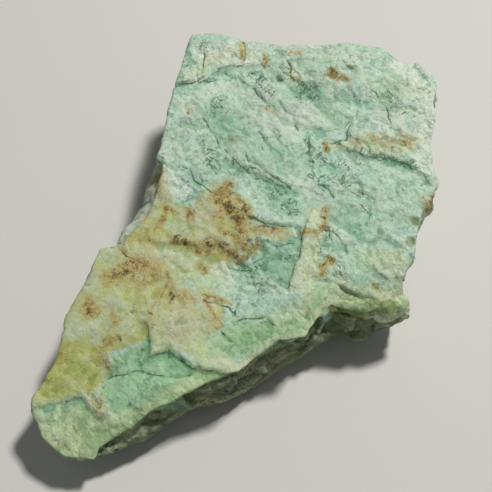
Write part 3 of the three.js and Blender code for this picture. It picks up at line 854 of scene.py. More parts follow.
def relief(points, calm):
    """Height of the fine break: three sizes of facets over points bent by a slow
    drift, turned to the grain and shortened along it, and a rough noise."""
    bent = bend(points, GRAIN_BEND)
    c, s = math.cos(STRETCH_HEADING), math.sin(STRETCH_HEADING)
    along = (bent[:, 0] * c + bent[:, 1] * s) / STRETCH
    grain = np.stack([along, -bent[:, 0] * s + bent[:, 1] * c, bent[:, 2]], -1)
    height = POWDER_HEIGHT * rough_noise(points, *POWDER_NOISE)
    for *kind, calmed in FACE_FACETS:
        height += facets(grain, *kind) * (1 - calmed * calm)
    return height


def chunks(points, kinds):
    """Larger facets over points bent by a slow drift."""
    return sum(facets(bend(points, CHUNK_BEND), *kind) for kind in kinds)


def sink_pits(top, plan, pits):
    """Sink round pits into the face: depth * (1 - smooth step from the floor to the rim)."""
    for x, y, radius, depth in pits:
        away = np.hypot(plan[:, 0] - x, plan[:, 1] - y)
        top[:, 2] -= depth * (1 - smooth(away, PIT_FLOOR * radius, radius))


def break_face(top, u, v, height, ragged, sizes):
    """Give the face its fine break, cracks and pits, then its wear: the corner, the
    rim by exp(-way in / breadth) and the front by exp(-(way in / breadth)^2). Returns
    the heights before the wear."""
    top[:, 2] = face_height(top[:, 0], top[:, 1], ragged) + sizes.top_relief / MM * height
    plan = crack_plan(top)
    for depth, width, *path in SEAMS:
        top[:, 2] -= SEAM_CUT * depth * (1 - smooth(path_distance(plan, path), 0, SEAM_REACH * width))
    sink_pits(top, plan, PITS)
    fresh = top[:, 2].reshape(v.shape).copy()
    sink_pits(top, plan, (WORN_CORNER,))
    uneven = WEAR_SHARE[0] + WEAR_SHARE[1] * noise(top, *WEAR_NOISE)
    top[:, 2] -= sizes.rim_wear / MM * np.exp(-edge_room(u, v).ravel() / WEAR_BREADTH) * uneven
    drop, breadth, start, full = FRONT_BEND
    top[:, 2] -= drop * np.exp(-(v.ravel() * SHEET_WIDTH / breadth) ** 2) * smooth(top[:, 0], start, full)
    return fresh


def break_walls(side, station, level, height, sizes):
    """Push the walls out and in along their heading by their broken chunks. Returns
    how far, one row for each level."""
    turn = np.radians(np.interp(station, *np.array(WALL).T[:2]))
    way = np.stack([np.cos(turn), np.sin(turn), np.zeros_like(turn)], -1)
    between = smooth(level, 0, WALL_FADE[0]) * (1 - smooth(level, WALL_FADE[1], 1.0))
    out = (height + chunks(side.reshape(-1, 3), WALL_FACETS)).reshape(side.shape[:2])
    out = sizes.wall_relief / MM * out * between[:, None]
    out = np.minimum(out, OUTWARD_FROM + OUTWARD_SHARE * out)
    side += way * out[..., None]
    return out


def standing(heights, reaches):
    """How far each point of a grid stands over the mean of the squares around it."""
    total = np.zeros_like(heights)
    for reach, share in reaches:
        padded = np.pad(heights, ((reach + 1, reach), (reach + 1, reach)), mode="edge")
        sums = np.cumsum(np.cumsum(padded, 0), 1)
        side = 2 * reach + 1
        near = sums[side:, side:] - sums[:-side, side:] - sums[side:, :-side] + sums[:-side, :-side]
        total += share * (heights - near / side ** 2)
    return total


def swell_lumps(points):
    """Round lumps: a point within the radius of a lump's centre moves straight away
    from the centre to the radius, which a noise makes uneven."""
    for *centre, radius in LUMPS:
        radius = radius * (1 + LUMP_WAVER * noise(points, radius, LUMP_SEED))[:, None]
        way = points - centre
        away = np.linalg.norm(way, axis=-1, keepdims=True)
        points = np.where(away < radius, centre + way * radius / np.maximum(away, LUMP_CORE), points)
    return points


def markings(points, up, ragged):
    """The masks of the marks that the stone's finish reads, each 0 to 1."""
    plan = bend(points, PLAN_BEND)[:, :2]
    space = bend(points, SPACE_BEND)
    masks = {}
    for name in {**STROKES, **WALL_STROKES}:
        masks[name] = np.maximum(
            stroke_mask(plan, STROKES.get(name, ())) * up, stroke_mask(space, WALL_STROKES.get(name, ())))
    for name, outline, soft, share in GROUND_MARKS:
        ground = share * smooth(inside_distance(points, GROUND[outline]) + ragged, -soft, soft) * up
        masks[name] = np.maximum(masks.get(name, 0), ground)
    uneven = CRUST_FAR * rough_noise(points * FLAT, *CRUST_NOISE)
    masks["crust"] = smooth(inside_distance(points, GROUND["crust"]) + uneven, *CRUST_EDGE) * up
    # Lines of cracks, and painted shadow lines at the foot of sharp steps.
    side, away = crack_side(points, ragged)
    masks["crack_side"] = side
    masks["crack_near"] = (1 - smooth(away, *CRACK_AND_STEP_SHADOW_NEAR)) * up
    masks["wall"] = 1 - up
    return masks


def lump_surface(sizes):
    """Points in millimetres and faces of the whole lump, with its masks."""
    cells, rows, under_rows = (sizes.cells_along, sizes.cells_across), sizes.wall_rows, sizes.under_rows
    u, v, station, level, parts = lump_grid(*cells, rows, under_rows)
    faces, ring = lump_faces(*cells, rows + under_rows - 1)
    points = np.concatenate([part.reshape(-1, 3) for part in parts])
    foot = u.size + rows * len(station)
    on_cap, on_wall, on_under = slice(0, u.size), slice(u.size, foot), slice(foot, None)

    ragged = RAGGED_FAR * rough_noise(points * FLAT, *RAGGED_NOISE)
    up = np.zeros(len(points))
    up[on_cap] = 1
    up[on_wall] = np.repeat(smooth(level, *RIM_LEVEL), len(station))
    calm = up * np.maximum.reduce([
        share * smooth(inside_distance(points, GROUND[name]), *CALM_EDGE) for name, share in CALM_GROUND])
    height = relief(points, calm)

    top, low = points[on_cap], points[on_under]
    base = face_height(top[:, 0], top[:, 1])
    fresh = break_face(top, u, v, height[on_cap], ragged[on_cap], sizes)
    side = points[on_wall].reshape(rows, -1, 3)
    out = break_walls(side, station, level, height[on_wall], sizes)
    side[..., 2] += (top[ring, 2] - base[ring]) * level[:, None] ** 2
    rough = UNDER_SHARE * height[on_under] + chunks(low, UNDER_FACETS)
    low[:, 2] = np.maximum(0, low[:, 2] + rough * smooth(low[:, 2], 0, UNDER_FADE))

    masks = markings(points, up, ragged)
    masks["raised"] = np.zeros(len(points))
    masks["raised"][on_cap] = standing(fresh, FACE_STANDING).ravel()
    masks["raised"][on_wall] = standing(out, WALL_STANDING).ravel()
    # The shade mask: painted shade on the front wall, fading out over the underside as it goes inward.
    front = smooth(station, *SHADE_START) * (1 - smooth(station, *SHADE_END))
    fade = 1 - smooth(np.arange(1, under_rows) / under_rows, *SHADE_UNDER)
    masks["shade"] = np.zeros(len(points))
    masks["shade"][u.size:-1] = np.outer(np.concatenate([np.ones(rows), fade]), front).ravel()
    points[:, :2] = bend(points, LAST_BEND)[:, :2]
    points = swell_lumps(points)
    points[:, :2] += SHIFT
    return points, faces, masks


# --------------------------------------------------------------------- finish

def tint(red, green, blue):
    """Scene-linear colour of a tint given in 0 to 255 as a screen shows it."""
    shares = [value / 255 for value in (red, green, blue)]
    return tuple(share / 12.92 if share < 0.04045 else ((share + 0.055) / 1.055) ** 2.4 for share in shares)


class Value:
    """An output of a node. Adding, subtracting or multiplying values lays a node, and
    so do abs() and |, which stands for the larger of two. The node works on numbers
    or on vectors, as the first value is."""

    def __init__(self, nodes, socket):
        self.nodes = nodes
        self.socket = socket

    def lay(self, operation, *others):
        if self.socket.type == "VALUE":
            return self.nodes.add("ShaderNodeMath", enumerate((self, *others)), operation=operation)
        others = [(other,) * 3 if isinstance(other, float) else other for other in others]
        return self.nodes.add("ShaderNodeVectorMath", enumerate((self, *others)), operation=operation)

    __add__ = partialmethod(lay, "ADD")
    __sub__ = partialmethod(lay, "SUBTRACT")
    __mul__ = partialmethod(lay, "MULTIPLY")
    __abs__ = partialmethod(lay, "ABSOLUTE")
    __or__ = partialmethod(lay, "MAXIMUM")

    def rest(self):
        """One less the value."""
        return self.nodes.add("ShaderNodeMath", enumerate((1.0, self)), operation="SUBTRACT")


class Nodes:
    """Short hand for laying out one node tree."""

    def __init__(self, tree):
        self.tree = tree

    def node(self, kind, inputs=(), **settings):
        """A new node with its settings, and its inputs fed by place or name."""
        node = self.tree.nodes.new(kind)
        count = len(self.tree.nodes)
        node.location = (count * 40, -(count % 7) * 180)
        for name, value in settings.items():
            setattr(node, name, value)
        for name, value in dict(inputs).items():
            self.feed(node.inputs[name], value)
        return node

    def add(self, kind, inputs=(), give=0, **settings):
        """A new node's output, the first unless told otherwise."""
        return Value(self, self.node(kind, inputs, **settings).outputs[give])

    def feed(self, socket, value):
        if isinstance(value, Value):
            self.tree.links.new(value.socket, socket)
        else:
            socket.default_value = value

    def mask(self, name):
        return self.add("ShaderNodeAttribute", give="Fac", attribute_type="GEOMETRY", attribute_name=name)

    def span(self, value, low, high, least=0.0, most=1.0, kind="SMOOTHSTEP"):
        """From least to most as the value goes from low to high."""
        ends = (value, low, high, least, most)
        return self.add("ShaderNodeMapRange", enumerate(ends), interpolation_type=kind)

    def mix(self, factor, below, above, blend="MIX"):
        inputs = {0: factor, 6: below, 7: above}
        return self.add("ShaderNodeMix", inputs, 2, data_type="RGBA", blend_type=blend)

    def noise(self, place, size, detail=3.0, roughness=0.55):
        sizes = {"Scale": 1 / size, "Detail": detail, "Roughness": roughness, "Lacunarity": 2.13}
        return self.add("ShaderNodeTexNoise", {"Vector": place, **sizes}, "Fac")

    def cells(self, place, size):
        return self.node("ShaderNodeTexVoronoi", {"Vector": place, "Scale": 1 / size}, feature="F1")


def new_material(name, layout, *settings):
    """A material with its nodes and its shader."""
    material = bpy.data.materials.new(name)
    material.use_nodes = True
    tree = material.node_tree
    return material, layout(tree, *settings), tree.nodes["Principled BSDF"]


# Noises over the stone: shift of the place, size in millimetres, detail, roughness.
FIELDS = {
    "slow": ((0, 0, 0), 11.0, 2.0, 0.55),
    "patch": ((0, 0, 0), 3.2, 4.0, 0.6),
    "mottle": ((0, 0, 0), 1.2, 4.0, 0.65),
    "speck": ((0, 0, 0), 0.4, 2.0, 0.6),
    "grit": ((0, 0, 0), 0.6, 4.0, 0.6),
    "blotch": ((31, 7, 3), 6.0, 4.0, 0.6),
    "spread": ((5, 43, 9), 4.0, 5.0, 0.65),
    "rust": ((17, 0, 61), 6.5, 5.0, 0.7),
    "breaks": ((0, 0, 11), 3.0, 3.0, 0.55),
    "along_gate": ((0, 0, 0), 2.6, 3.0, 0.55),
    "across_gate": ((0, 0, 19), 2.2, 3.0, 0.55),
    "crumb_gate": ((0, 0, 0), 3.6, 3.0, 0.55),
}

# Tints laid over one another: noise, its low and high, the share of the tint at both, and the tint. First
# the broken face, then crust, walls, and the painted shade of the front wall.
FACE_TINTS = (
    ("slow", 0.4, 0.6, 0, 1, "pale_mint"),
    ("blotch", 0.46, 0.6, 0, 0.7, "celadon"),
    ("spread", 0.48, 0.6, 0, 0.6, "turquoise"),
    ("flake_chance", 0.6, 0.9, 0, 0.3, "celadon"),
    ("flake_fortune", 0.6, 0.9, 0, 0.25, "dust"),
    ("mottle", 0.5, 0.66, 0, 0.35, "dust"),
)
CRUST_TINTS = (
    ("blotch", 0.44, 0.58, 0, 1, "crust_grey"),
    ("slow", 0.48, 0.62, 0, 0.7, "pink_cream"),
    ("spread", 0.5, 0.62, 0, 0.6, "lime"),
    ("mottle", 0.54, 0.68, 0, 0.5, "cream"),
)
WALL_TINTS = (
    ("blotch", 0.42, 0.58, 0, 0.75, "wall_green"),
    ("spread", 0.44, 0.6, 0.1, 0.75, "wall_grey"),
    ("slow", 0.5, 0.6, 0, 0.8, "crust"),
)
# Painted shade of the front wall: darker tints laid where the shade mask is, in place of the shade that
# falls on it.
PAINTED_SHADE_TINTS = (
    ("blotch", 0.4, 0.62, 0, 1, "painted_shade_olive"),
    ("spread", 0.46, 0.6, 0, 0.7, "painted_shade_moss"),
)

# Coats over the stone, in order: mask, tint, its low and high, raggedness of its
# edge and strength.
COATS = (
    ("lilac", "lilac", 0.25, 0.75, 0.30, 0.7),
    ("teal", "teal", 0.25, 0.85, 0.35, 0.75),
    ("turquoise", "turquoise", 0.25, 0.85, 0.35, 0.7),
    ("crust", "crust", 0.30, 0.70, 0.25, 0.95),
    ("aqua", "turquoise", 0.25, 0.85, 0.35, 0.75),
    ("green", "spring_green", 0.45, 0.60, 0.06, 0.9),
    ("moss", "moss", 0.2, 0.85, 0.25, 0.85),
    # The front band: green, and darker as painted shade.
    ("spring", "leaf", 0.2, 0.85, 0.25, 0.85),
    ("chalk", "chalk", 0.15, 0.85, 0.25, 0.85),
    ("cream", "cream", 0.3, 0.75, 0.30, 0.85),
    ("lime", "lime", 0.2, 0.9, 0.30, 0.85),
    ("olive", "olive", 0.35, 0.7, 0.25, 0.8),
    ("glassy", "glass", 0.3, 0.8, 0.15, 0.7),
)

# Spans of the finish: low and high of a value, and the least and most that it gives.
SPANS = {
    "ragged": (0.32, 0.68, -1, 1, "LINEAR"),
    "wall": (0.3, 0.7),
    # Painted shade of the hollows.
    "hollow": (-0.18, -0.03, 0.6, 0),
    "rim": (0.02, 0.16, 0, 0.25),
    "rim_off_green": (0, 1, 1, 0.3),
    "rust": (0.58, 0.72, 0, 0.9),
    "halo": (0, 0.85, 0, 0.75),
    "stain": (0.6, 1.4, 0, 0.95),
    "stain_start": (0.05, 0.3),
    "vein": (0, 0.045, 1, 0),
    "vein_share": (0.2, 0.9, 0, 0.75),
    "dark": (0.5, 1),
    "dark_share": (0.36, 0.5, 0.3, 0.9),
    "crack_and_step_shadow": (0.02, 0.17, 1, 0),
    "crack_breaks": (0.42, 0.58, 0.1, 1),
    "step_shadow": (0.006, 0.026, 1, 0),
    "along_gate": (0.67, 0.81),
    "across_gate": (0.7, 0.81),
    "crumb": (0.57, 0.7),
    "crumb_gate": (0.42, 0.6, 0.15, 1),
    "speck_tone": (0.3, 0.7, 0.93, 1.08, "LINEAR"),
    "flake_tone": (0, 1, 0.95, 1.05, "LINEAR"),
    "rough": (0.3, 0.7, 0.56, 0.74, "LINEAR"),
}

# Shares of three noises in the raggedness of edges.
PATCH_SHARE, MOTTLE_SHARE, SPECK_SHARE = 0.4, 0.35, 0.25

# How much the raggedness frays the edge of each.
FRAY = {"wall": 0.15, "raised": 0.03, "halo": 0.25, "crack_and_step_shadow": 0.3}

# Masks that keep the fine dark lines away, and how much. The crust calms the bump too.
CALM_MASKS = (("wall", 0.7), ("green", 0.6), ("moss", 0.8))
CRUST_CALM = 0.6
HACKLED_MORE = 0.33
CRUMB_DARK = 0.42
LINE_DARK = 0.74

# Heights of the bump in millimetres, and sizes of flakes and crystals.
FINE_FLAKE, WIDE_FLAKE, GRIT, LINE_DEPTH, CRUMB_DEPTH = 0.45, 0.4, 0.12, 0.25, 0.12
FINE_SIZE, WIDE_SIZE, CRYSTAL_SIZE = 0.75, 1.7, 0.625

# Turn to the grain of the break, and how patterns are shortened on either axis of it.
GRAIN_TURN = math.radians(75)
FLAKES_DRAWN = (0.6, 1, 1)
ALONG_DRAWN = (1 / 4.5, 1, 1)
ACROSS_DRAWN = (1, 0.25, 1)
CRUMBS_DRAWN = (0.7, 1, 1)

# The warp that bends patterns: scale and detail of its noise, its reach, and the
# share of it that straight lines keep.
WARP = {"Scale": 0.9, "Detail": 2.0}
WARP_REACH = 1.1
STRAIGHT_SHARE = 0.35

# Noises of stains, painted shadows of small steps and crumbs: size, detail and roughness; and how strongly
# blots break the stains.
BLOTS = (1.7, 5.0, 0.8)
VEINS = (1.9,)
STEP_SHADOW_NOISE = (1.5, 2.0)
CRUMBS = (0.5, 3.0, 0.7)
BLOT_STAIN = 1.25
BLOT_DARK = 0.8

# How much smoother clear quartz and druse are, and the gloss of the whole stone.
SMOOTHER = {"glassy": 0.35, "druse": 0.4}
GLOSS = 0.4


class StoneNodes(Nodes):
    """Nodes of the stone, with the noises, tints and flakes that its parts share."""

    def __init__(self, tree, tints):
        super().__init__(tree)
        self.place = self.add("ShaderNodeTexCoord", give="Object") * (1 / MM)
        self.fields = {name: self.noise(self.place + shift, *row) for name, (shift, *row) in FIELDS.items()}
        self.tints = {name: (*getattr(tints, name), 1.0) for name in TINTS}
        fields = self.fields
        mixed = fields["patch"] * PATCH_SHARE + fields["mottle"] * MOTTLE_SHARE
        mixed = mixed + fields["speck"] * SPECK_SHARE
        self.ragged = self.by("ragged", mixed)
        warp = self.add("ShaderNodeTexNoise", {"Vector": self.place, **WARP}, "Color")
        warp = (warp - 0.5) * WARP_REACH
        self.bent = self.place + warp
        self.straight = self.turned(self.place + warp * STRAIGHT_SHARE)
        grain = self.turned(self.bent) * FLAKES_DRAWN
        self.wide_flake, (fields["flake_chance"], fields["flake_fortune"], _) = self.flakes(grain, WIDE_SIZE)
        self.fine_flake, (_, _, self.fine_chance) = self.flakes(grain, FINE_SIZE)
        self.calm = (self.mask("crust") * CRUST_CALM).rest()

    def by(self, name, value):
        """The value through the span of that name."""
        return self.span(value, *SPANS[name])

    def turned(self, place):
        """A place turned to the grain of the break."""
        inputs = {"Vector": place, "Angle": GRAIN_TURN}
        return self.add("ShaderNodeVectorRotate", inputs, rotation_type="Z_AXIS")

    def flakes(self, place, size):
        """Small tilted flakes: the height is the way from the cell's own spot along the
        cell's own random slope. Also gives the three random numbers of the cell."""
        cells = self.cells(place, size)
        chance = Value(self, cells.outputs["Color"])
        ways = enumerate((place - Value(self, cells.outputs["Position"]), chance - 0.5))
        height = self.add("ShaderNodeVectorMath", ways, "Value", operation="DOT_PRODUCT")
        split = self.node("ShaderNodeSeparateColor", {0: chance})
        return height, [Value(self, part) for part in split.outputs]

    def tinted(self, base, rows):
        """Tints laid over a base, one after another."""
        for field, low, high, least, most, name in rows:
            base = self.mix(self.span(self.fields[field], low, high, least, most), base, self.tints[name])
        return base

    def ground(self):
        """Colour of face and walls, with the coats, painted shade in the hollows and the dusty rims."""
        stone = self.tinted(self.tints["mint"], FACE_TINTS)
        self.tints["crust"] = self.tinted(self.tints["crust"], CRUST_TINTS)
        # The front wall takes darker tints where the shade mask is: painted shade.
        shaded = self.tinted(self.tints["painted_shade_dark"], PAINTED_SHADE_TINTS)
        walls = self.mix(self.mask("shade"), self.tinted(stone, WALL_TINTS), shaded)
        stone = self.mix(self.by("wall", self.mask("wall") + self.ragged * FRAY["wall"]), stone, walls)
        for mask, name, low, high, fray, strength in COATS:
            share = self.span(self.mask(mask) + self.ragged * fray, low, high, 0, strength)
            stone = self.mix(share, stone, self.tints[name])
        raised = self.mask("raised") + self.ragged * FRAY["raised"]
        # Hollows, which lie below the squares around them, are darkened: painted shade.
        stone = self.mix(self.by("hollow", raised), stone, self.tints["hollow"], "MULTIPLY")
        rims = self.by("rim", raised) * self.by("rim_off_green", self.mask("green"))
        return self.mix(rims, stone, self.tints["dust"])

    def stained(self, stone):
        """Iron stains: a thin halo, a blotted body, fine veins and dark spots, with
        some rust on the walls."""
        rust = self.by("rust", self.fields["rust"]) * (self.mask("wall") - self.mask("shade"))
        stain = self.mask("iron") | rust
        blots = self.by("ragged", self.noise(self.bent, *BLOTS))
        halo = self.by("halo", stain + self.ragged * FRAY["halo"])
        body = self.by("stain", stain + blots * BLOT_STAIN) * self.by("stain_start", stain)
        vein = self.by("vein", abs(self.noise(self.bent, *VEINS) - 0.5)) * self.by("vein_share", stain)
        dark = self.by("dark", self.mask("umber") + blots * BLOT_DARK)
        dark = dark * self.by("dark_share", self.fields["mottle"])
        for share, name in ((halo, "pale_ochre"), (body, "ochre"), (vein, "brown"), (dark, "umber")):
            stone = self.mix(share, stone, self.tints[name])
        return stone

    def step_shadows(self, drawn, gate):
        """Thin dark lines, painted shadows of small steps, where a noise drawn out one way passes through
        its middle value, let through in patches."""
        return self.by("step_shadow", abs(self.noise(self.straight * drawn, *STEP_SHADOW_NOISE) - 0.5)) * gate

    def dark_lines(self):
        """Cracks and the painted shadow lines at the foot of sharp steps, painted shadows of small steps
        drawn as lines along and across the grain, and crumbs of the break.
        """
        # Dark lines of cracks, and painted shadows at the foot of sharp steps.
        crack_and_step_shadow = self.by("crack_and_step_shadow", abs(self.mask("crack_side") + self.ragged * FRAY["crack_and_step_shadow"]))
        crack_and_step_shadow = crack_and_step_shadow * self.mask("crack_near") * self.by("crack_breaks", self.fields["breaks"])
        bare = self.calm
        for mask, share in CALM_MASKS:
            bare = bare * (self.mask(mask) * share).rest()
        more = self.mask("hackled") * HACKLED_MORE
        along = self.by("along_gate", self.fields["along_gate"] + more) * bare
        across = self.by("across_gate", self.fields["across_gate"] + more) * bare
        lines = crack_and_step_shadow | self.step_shadows(ALONG_DRAWN, along) | self.step_shadows(ACROSS_DRAWN, across)
        crumbs = self.by("crumb", self.noise(self.straight * CRUMBS_DRAWN, *CRUMBS))
        return lines, crumbs * self.by("crumb_gate", self.fields["crumb_gate"]) * bare

    def bumps(self, lines, crumbs):
        """Heights of flakes, grit, lines, crumbs and druse, as a normal."""
        height = (self.fine_flake * FINE_FLAKE + self.wide_flake * WIDE_FLAKE) * self.calm
        height = height + self.fields["grit"] * GRIT - lines * LINE_DEPTH - crumbs * CRUMB_DEPTH
        crystals = Value(self, self.cells(self.place, CRYSTAL_SIZE).outputs["Distance"])
        height = height + crystals * self.mask("druse")
        return self.add("ShaderNodeBump", {"Strength": 1.0, "Distance": MM, "Height": height})


def stone_finish(tints):
    """One coloured coat over another, each let through by its own mask with an edge
    broken up by noise; then stains, cracks, a fine unevenness of tone, and a fine bump."""
    material, nodes, shader = new_material("chrysoprase", StoneNodes, tints)
    lines, crumbs = nodes.dark_lines()
    stone = nodes.stained(nodes.ground())
    # Dark tint of cracks and of painted step shadows, olive in the crust.
    crack_and_shadow_tint = nodes.mix(nodes.mask("crust"), nodes.tints["crack_and_painted_shadow_green"], nodes.tints["crack_and_painted_shadow_olive"])
    stone = nodes.mix(crumbs * CRUMB_DARK, stone, crack_and_shadow_tint)
    stone = nodes.mix(lines * LINE_DARK, stone, crack_and_shadow_tint)
    tone = nodes.by("speck_tone", nodes.fields["speck"]) * nodes.by("flake_tone", nodes.fine_chance)
    rough = nodes.by("rough", nodes.fields["mottle"])
    for mask, smoother in SMOOTHER.items():
        rough = rough - nodes.mask(mask) * smoother
    nodes.feed(shader.inputs["Base Color"], nodes.mix(1.0, stone, tone, "MULTIPLY"))
    nodes.feed(shader.inputs["Roughness"], rough)
    nodes.feed(shader.inputs["Normal"], nodes.bumps(lines, crumbs))
    shader.inputs["Specular IOR Level"].default_value = GLOSS
    return material


# Floor paint: size of its clouds in metres, how much lighter they are, roughness.
CLOUD_SIZE, CLOUD_LIGHTER, PAINT_ROUGHNESS = 0.09, 1.04, 0.85


def floor_finish(shade):
    """Matt paint with a faint unevenness of tone."""
    material, nodes, shader = new_material("floor_paint", Nodes)
    cloud = nodes.noise(nodes.add("ShaderNodeTexCoord", give="Object"), CLOUD_SIZE)
    lighter = [min(1.0, share * CLOUD_LIGHTER) for share in shade]
    nodes.feed(shader.inputs["Base Color"], nodes.mix(cloud, (*shade, 1.0), (*lighter, 1.0)))
    shader.inputs["Roughness"].default_value = PAINT_ROUGHNESS
    return material


# ------------------------------------------------------------------- settings

# Tints of the stone, each with its use.
TINTS = {
    "mint": ("Main tint of the broken face", 188, 214, 190),
    "pale_mint": ("Light parts of the face", 200, 224, 201),
    "celadon": ("Greyer parts of the face", 172, 202, 174),
    "dust": ("Powder on the high spots", 210, 227, 208),
    "teal": ("Hollows and fresh stone", 138, 187, 154),
    "spring_green": ("Ground below the crust", 162, 206, 160),
    # Green of the front band, darkened as painted shade.
    "leaf": ("Green band along the front edge", 146, 188, 138),
    "turquoise": ("Bluest patches", 172, 214, 196),
    "lilac": ("Greyish pink mottling", 210, 218, 206),
    "crust": ("Weathered yellow crust", 182, 186, 116),
    "crust_grey": ("Greener parts of the crust", 188, 200, 160),
    "pink_cream": ("Warmer parts of the crust", 196, 190, 156),
    "cream": ("Cream veins and crust", 206, 214, 172),
    "lime": ("Lime yellow crust of the tip", 186, 194, 112),
    "moss": ("Yellow-green of the tip and the front edge", 192, 213, 162),
    "chalk": ("Palest stone of the rims", 224, 234, 216),
    # Green of the painted shade on the front wall.
    "painted_shade_moss": ("Green of the shaded walls", 112, 130, 88),
    "glass": ("Clearer quartz of the rim", 160, 178, 120),
    "olive": ("Olive grains", 118, 132, 70),
    "pale_ochre": ("Thin iron stain", 188, 171, 100),
    "ochre": ("Iron stain", 154, 126, 62),
    "brown": ("Fine veins of iron stain", 104, 84, 48),
    "umber": ("Darkest stain", 78, 66, 40),
    # Tints of cracks and of painted shadows of steps, on the face and in the crust.
    "crack_and_painted_shadow_green": ("Cracks and their shade", 76, 114, 80),
    "crack_and_painted_shadow_olive": ("Cracks in the crust", 116, 108, 60),
    # Multiplied into the hollows as painted shade.
    "hollow": ("Taken over the colour of the hollows", 176, 206, 182),
    "wall_grey": ("Dull parts of the walls", 156, 162, 144),
    "wall_green": ("Green parts of the walls", 140, 164, 132),
    # Dark and light parts of the painted shade on the front wall.
    "painted_shade_dark": ("Dark parts of the front wall", 100, 110, 72),
    "painted_shade_olive": ("Light parts of the front wall", 126, 134, 96),
}


def count_property(name, use, default, least):
    return IntProperty(name=name, description=use, default=default, min=least)


def number_property(name, use, default, **kind):
    return FloatProperty(name=name, description=use, default=default, **kind)


def depth_property(name, use, millimetres):
    return number_property(name, use, millimetres * MM, unit="LENGTH", precision=5)


def tint_property(name, use, *screen):
    return FloatVectorProperty(
        name=name, description=use, subtype="COLOR", size=3, min=0, max=1, default=tint(*screen))


class LumpSizes(bpy.types.PropertyGroup):
    """How finely the lump is divided, and how deep its break is."""
    cells_along: count_property("Cells along", "Cells of the face along the front", 212, 24)
    cells_across: count_property("Cells across", "Cells of the face from front to back", 232, 24)
    wall_rows: count_property("Wall rows", "Rows of cells from the rim to the foot", 28, 6)
    under_rows: count_property("Underside rows", "Rows of cells from the foot to the middle", 22, 4)
    top_relief: depth_property("Face relief", "How deep the fine break of the face is", 1.0)
    wall_relief: depth_property("Wall relief", "How deep the fine break of the walls is", 1.3)
    rim_wear: depth_property("Rim wear", "How much the rim of the face is worn down", 0.6)


class StoneTints(bpy.types.PropertyGroup):
    """Tints of the stone and of what grows on it."""
    __annotations__ = {
        name: tint_property(name.replace("_", " ").capitalize(), *row) for name, row in TINTS.items()}


class StageSettings(bpy.types.PropertyGroup):
    """Floor, lamps and camera."""
    floor_size: number_property("Floor size", "Side of the floor", 4.0, unit="LENGTH")
    floor_tint: tint_property("Floor", "Paint of the floor", 214, 212, 207)
    key_power: number_property("Key power", "Power of the main lamp", 6.6, unit="POWER")
    fill_power: number_property("Fill power", "Power of the soft lamp in front", 0.3, unit="POWER")
    sky_strength: number_property("Sky strength", "Evenly spread light", 0.13)
    focal_length: number_property("Focal length", "Focal length of the camera", 86.47 * MM, unit="CAMERA")


# ------------------------------------------------------------------ operators

# The piece is kept this far inside the solid's box.
INNER = 1e-6


class MINERAL_OT_chrysoprase_lump(bpy.types.Operator):
    """Build the rough slab of chrysoprase"""
    bl_idname = "mineral.chrysoprase_lump"
    bl_label = "Chrysoprase lump"

    def execute(self, context):
        points, faces, masks = lump_surface(context.scene.lump_sizes)
        low, high = np.array(cad_low) + INNER, np.array(cad_high) - INNER
        low[2] = 0.0
        mesh = bpy.data.meshes.new(PIECE)
        mesh.from_pydata(np.clip(points * MM, low, high).tolist(), [], faces)
        for name, values in masks.items():
            layer = mesh.attributes.new(name, "FLOAT", "POINT")
            layer.data.foreach_set("value", values.astype(np.float32))
        mesh.polygons.foreach_set("use_smooth", np.ones(len(mesh.polygons), bool))
        mesh.update()
        mesh.materials.append(stone_finish(context.scene.stone_tints))
        lump = bpy.data.objects.new(PIECE, mesh)
        context.scene.collection.objects.link(lump)
        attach(lump, "root")
        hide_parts(NODE)
        return {"FINISHED"}


# Lamps in metres: place, side, name of the power setting and colour. Both face AIM.
AIM = Vector((0, 0, 0.02))
LAMPS = {
    "key": (0.9 * Vector((0.431, 0.080, 0.899)), 0.11, "key_power", (1.0, 0.985, 0.95)),
    "fill": (Vector((-0.35, -0.75, 0.5)), 0.6, "fill_power", (0.95, 0.98, 1.0)),
}
SKY = (0.93, 0.96, 1.0, 1.0)
CAMERA_AIM = Vector((-0.0005, -0.01185, 0.022))
CAMERA_WAY = Vector((-0.25, -0.4330127, 0.8660254))
CAMERA_DISTANCE = 0.26


def place_facing(name, data, place, way):
    """A lamp or camera at a place, looking along a way."""
    holder = bpy.data.objects.new(name, data)
    holder.location = place
    holder.rotation_euler = way.to_track_quat("-Z", "Y").to_euler()
    bpy.context.scene.collection.objects.link(holder)
    return holder


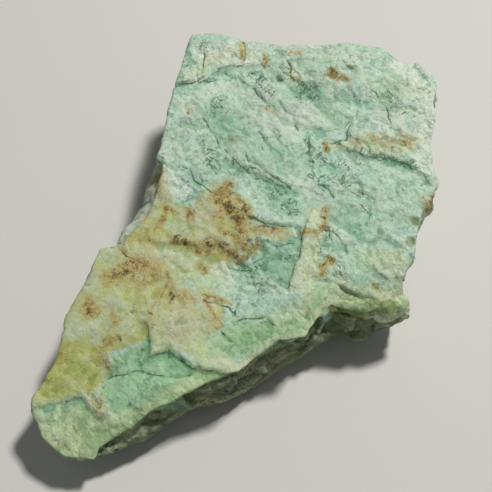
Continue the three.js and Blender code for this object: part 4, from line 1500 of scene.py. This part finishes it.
class MINERAL_OT_chrysoprase_stage(bpy.types.Operator):
    """Lay the floor and set the lamps and the camera"""
    bl_idname = "mineral.chrysoprase_stage"
    bl_label = "Plain stage"

    def execute(self, context):
        scene, settings = context.scene, context.scene.stage_settings
        half = settings.floor_size / 2
        corners = [(-half, -half, 0), (half, -half, 0), (half, half, 0), (-half, half, 0)]
        mesh = bpy.data.meshes.new("floor")
        mesh.from_pydata(corners, [], [(0, 1, 2, 3)])
        mesh.materials.append(floor_finish(settings.floor_tint))
        floor = bpy.data.objects.new("floor", mesh)
        scene.collection.objects.link(floor)

        for name, (place, side, power, colour) in LAMPS.items():
            light = bpy.data.lights.new(name, "AREA")
            light.shape = "SQUARE"
            light.size, light.energy, light.color = side, getattr(settings, power), colour
            place_facing(name, light, place, AIM - place)
        scene.world = bpy.data.worlds.new("studio")
        scene.world.use_nodes = True
        background = scene.world.node_tree.nodes["Background"]
        background.inputs["Color"].default_value = SKY
        background.inputs["Strength"].default_value = settings.sky_strength
        scene.view_settings.view_transform = "Standard"

        camera = bpy.data.cameras.new("camera")
        camera.lens = settings.focal_length / MM
        camera.clip_start = 0.01
        scene.camera = place_facing("camera", camera, CAMERA_AIM + CAMERA_WAY * CAMERA_DISTANCE, -CAMERA_WAY)
        return {"FINISHED"}


class MINERAL_PT_chrysoprase(bpy.types.Panel):
    """Sidebar panel with every size, tint and operator"""
    bl_label = "Chrysoprase slab"
    bl_space_type = "VIEW_3D"
    bl_region_type = "UI"
    bl_category = "Chrysoprase"

    def draw(self, context):
        for name, group in SETTINGS.items():
            box = self.layout.box()
            for setting in group.__annotations__:
                box.prop(getattr(context.scene, name), setting)
        for operator in OPERATORS:
            self.layout.operator(operator.bl_idname)


SETTINGS = {"lump_sizes": LumpSizes, "stone_tints": StoneTints, "stage_settings": StageSettings}
OPERATORS = (MINERAL_OT_chrysoprase_lump, MINERAL_OT_chrysoprase_stage)
CLASSES = (*SETTINGS.values(), *OPERATORS, MINERAL_PT_chrysoprase)


def register():
    for item in CLASSES:
        bpy.utils.register_class(item)
    for name, group in SETTINGS.items():
        setattr(bpy.types.Scene, name, PointerProperty(type=group))


def unregister():
    for name in SETTINGS:
        delattr(bpy.types.Scene, name)
    for item in reversed(CLASSES):
        bpy.utils.unregister_class(item)


def main():
    register()
    bpy.ops.mineral.chrysoprase_lump()
    bpy.ops.mineral.chrysoprase_stage()


if __name__ == "__main__":
    main()
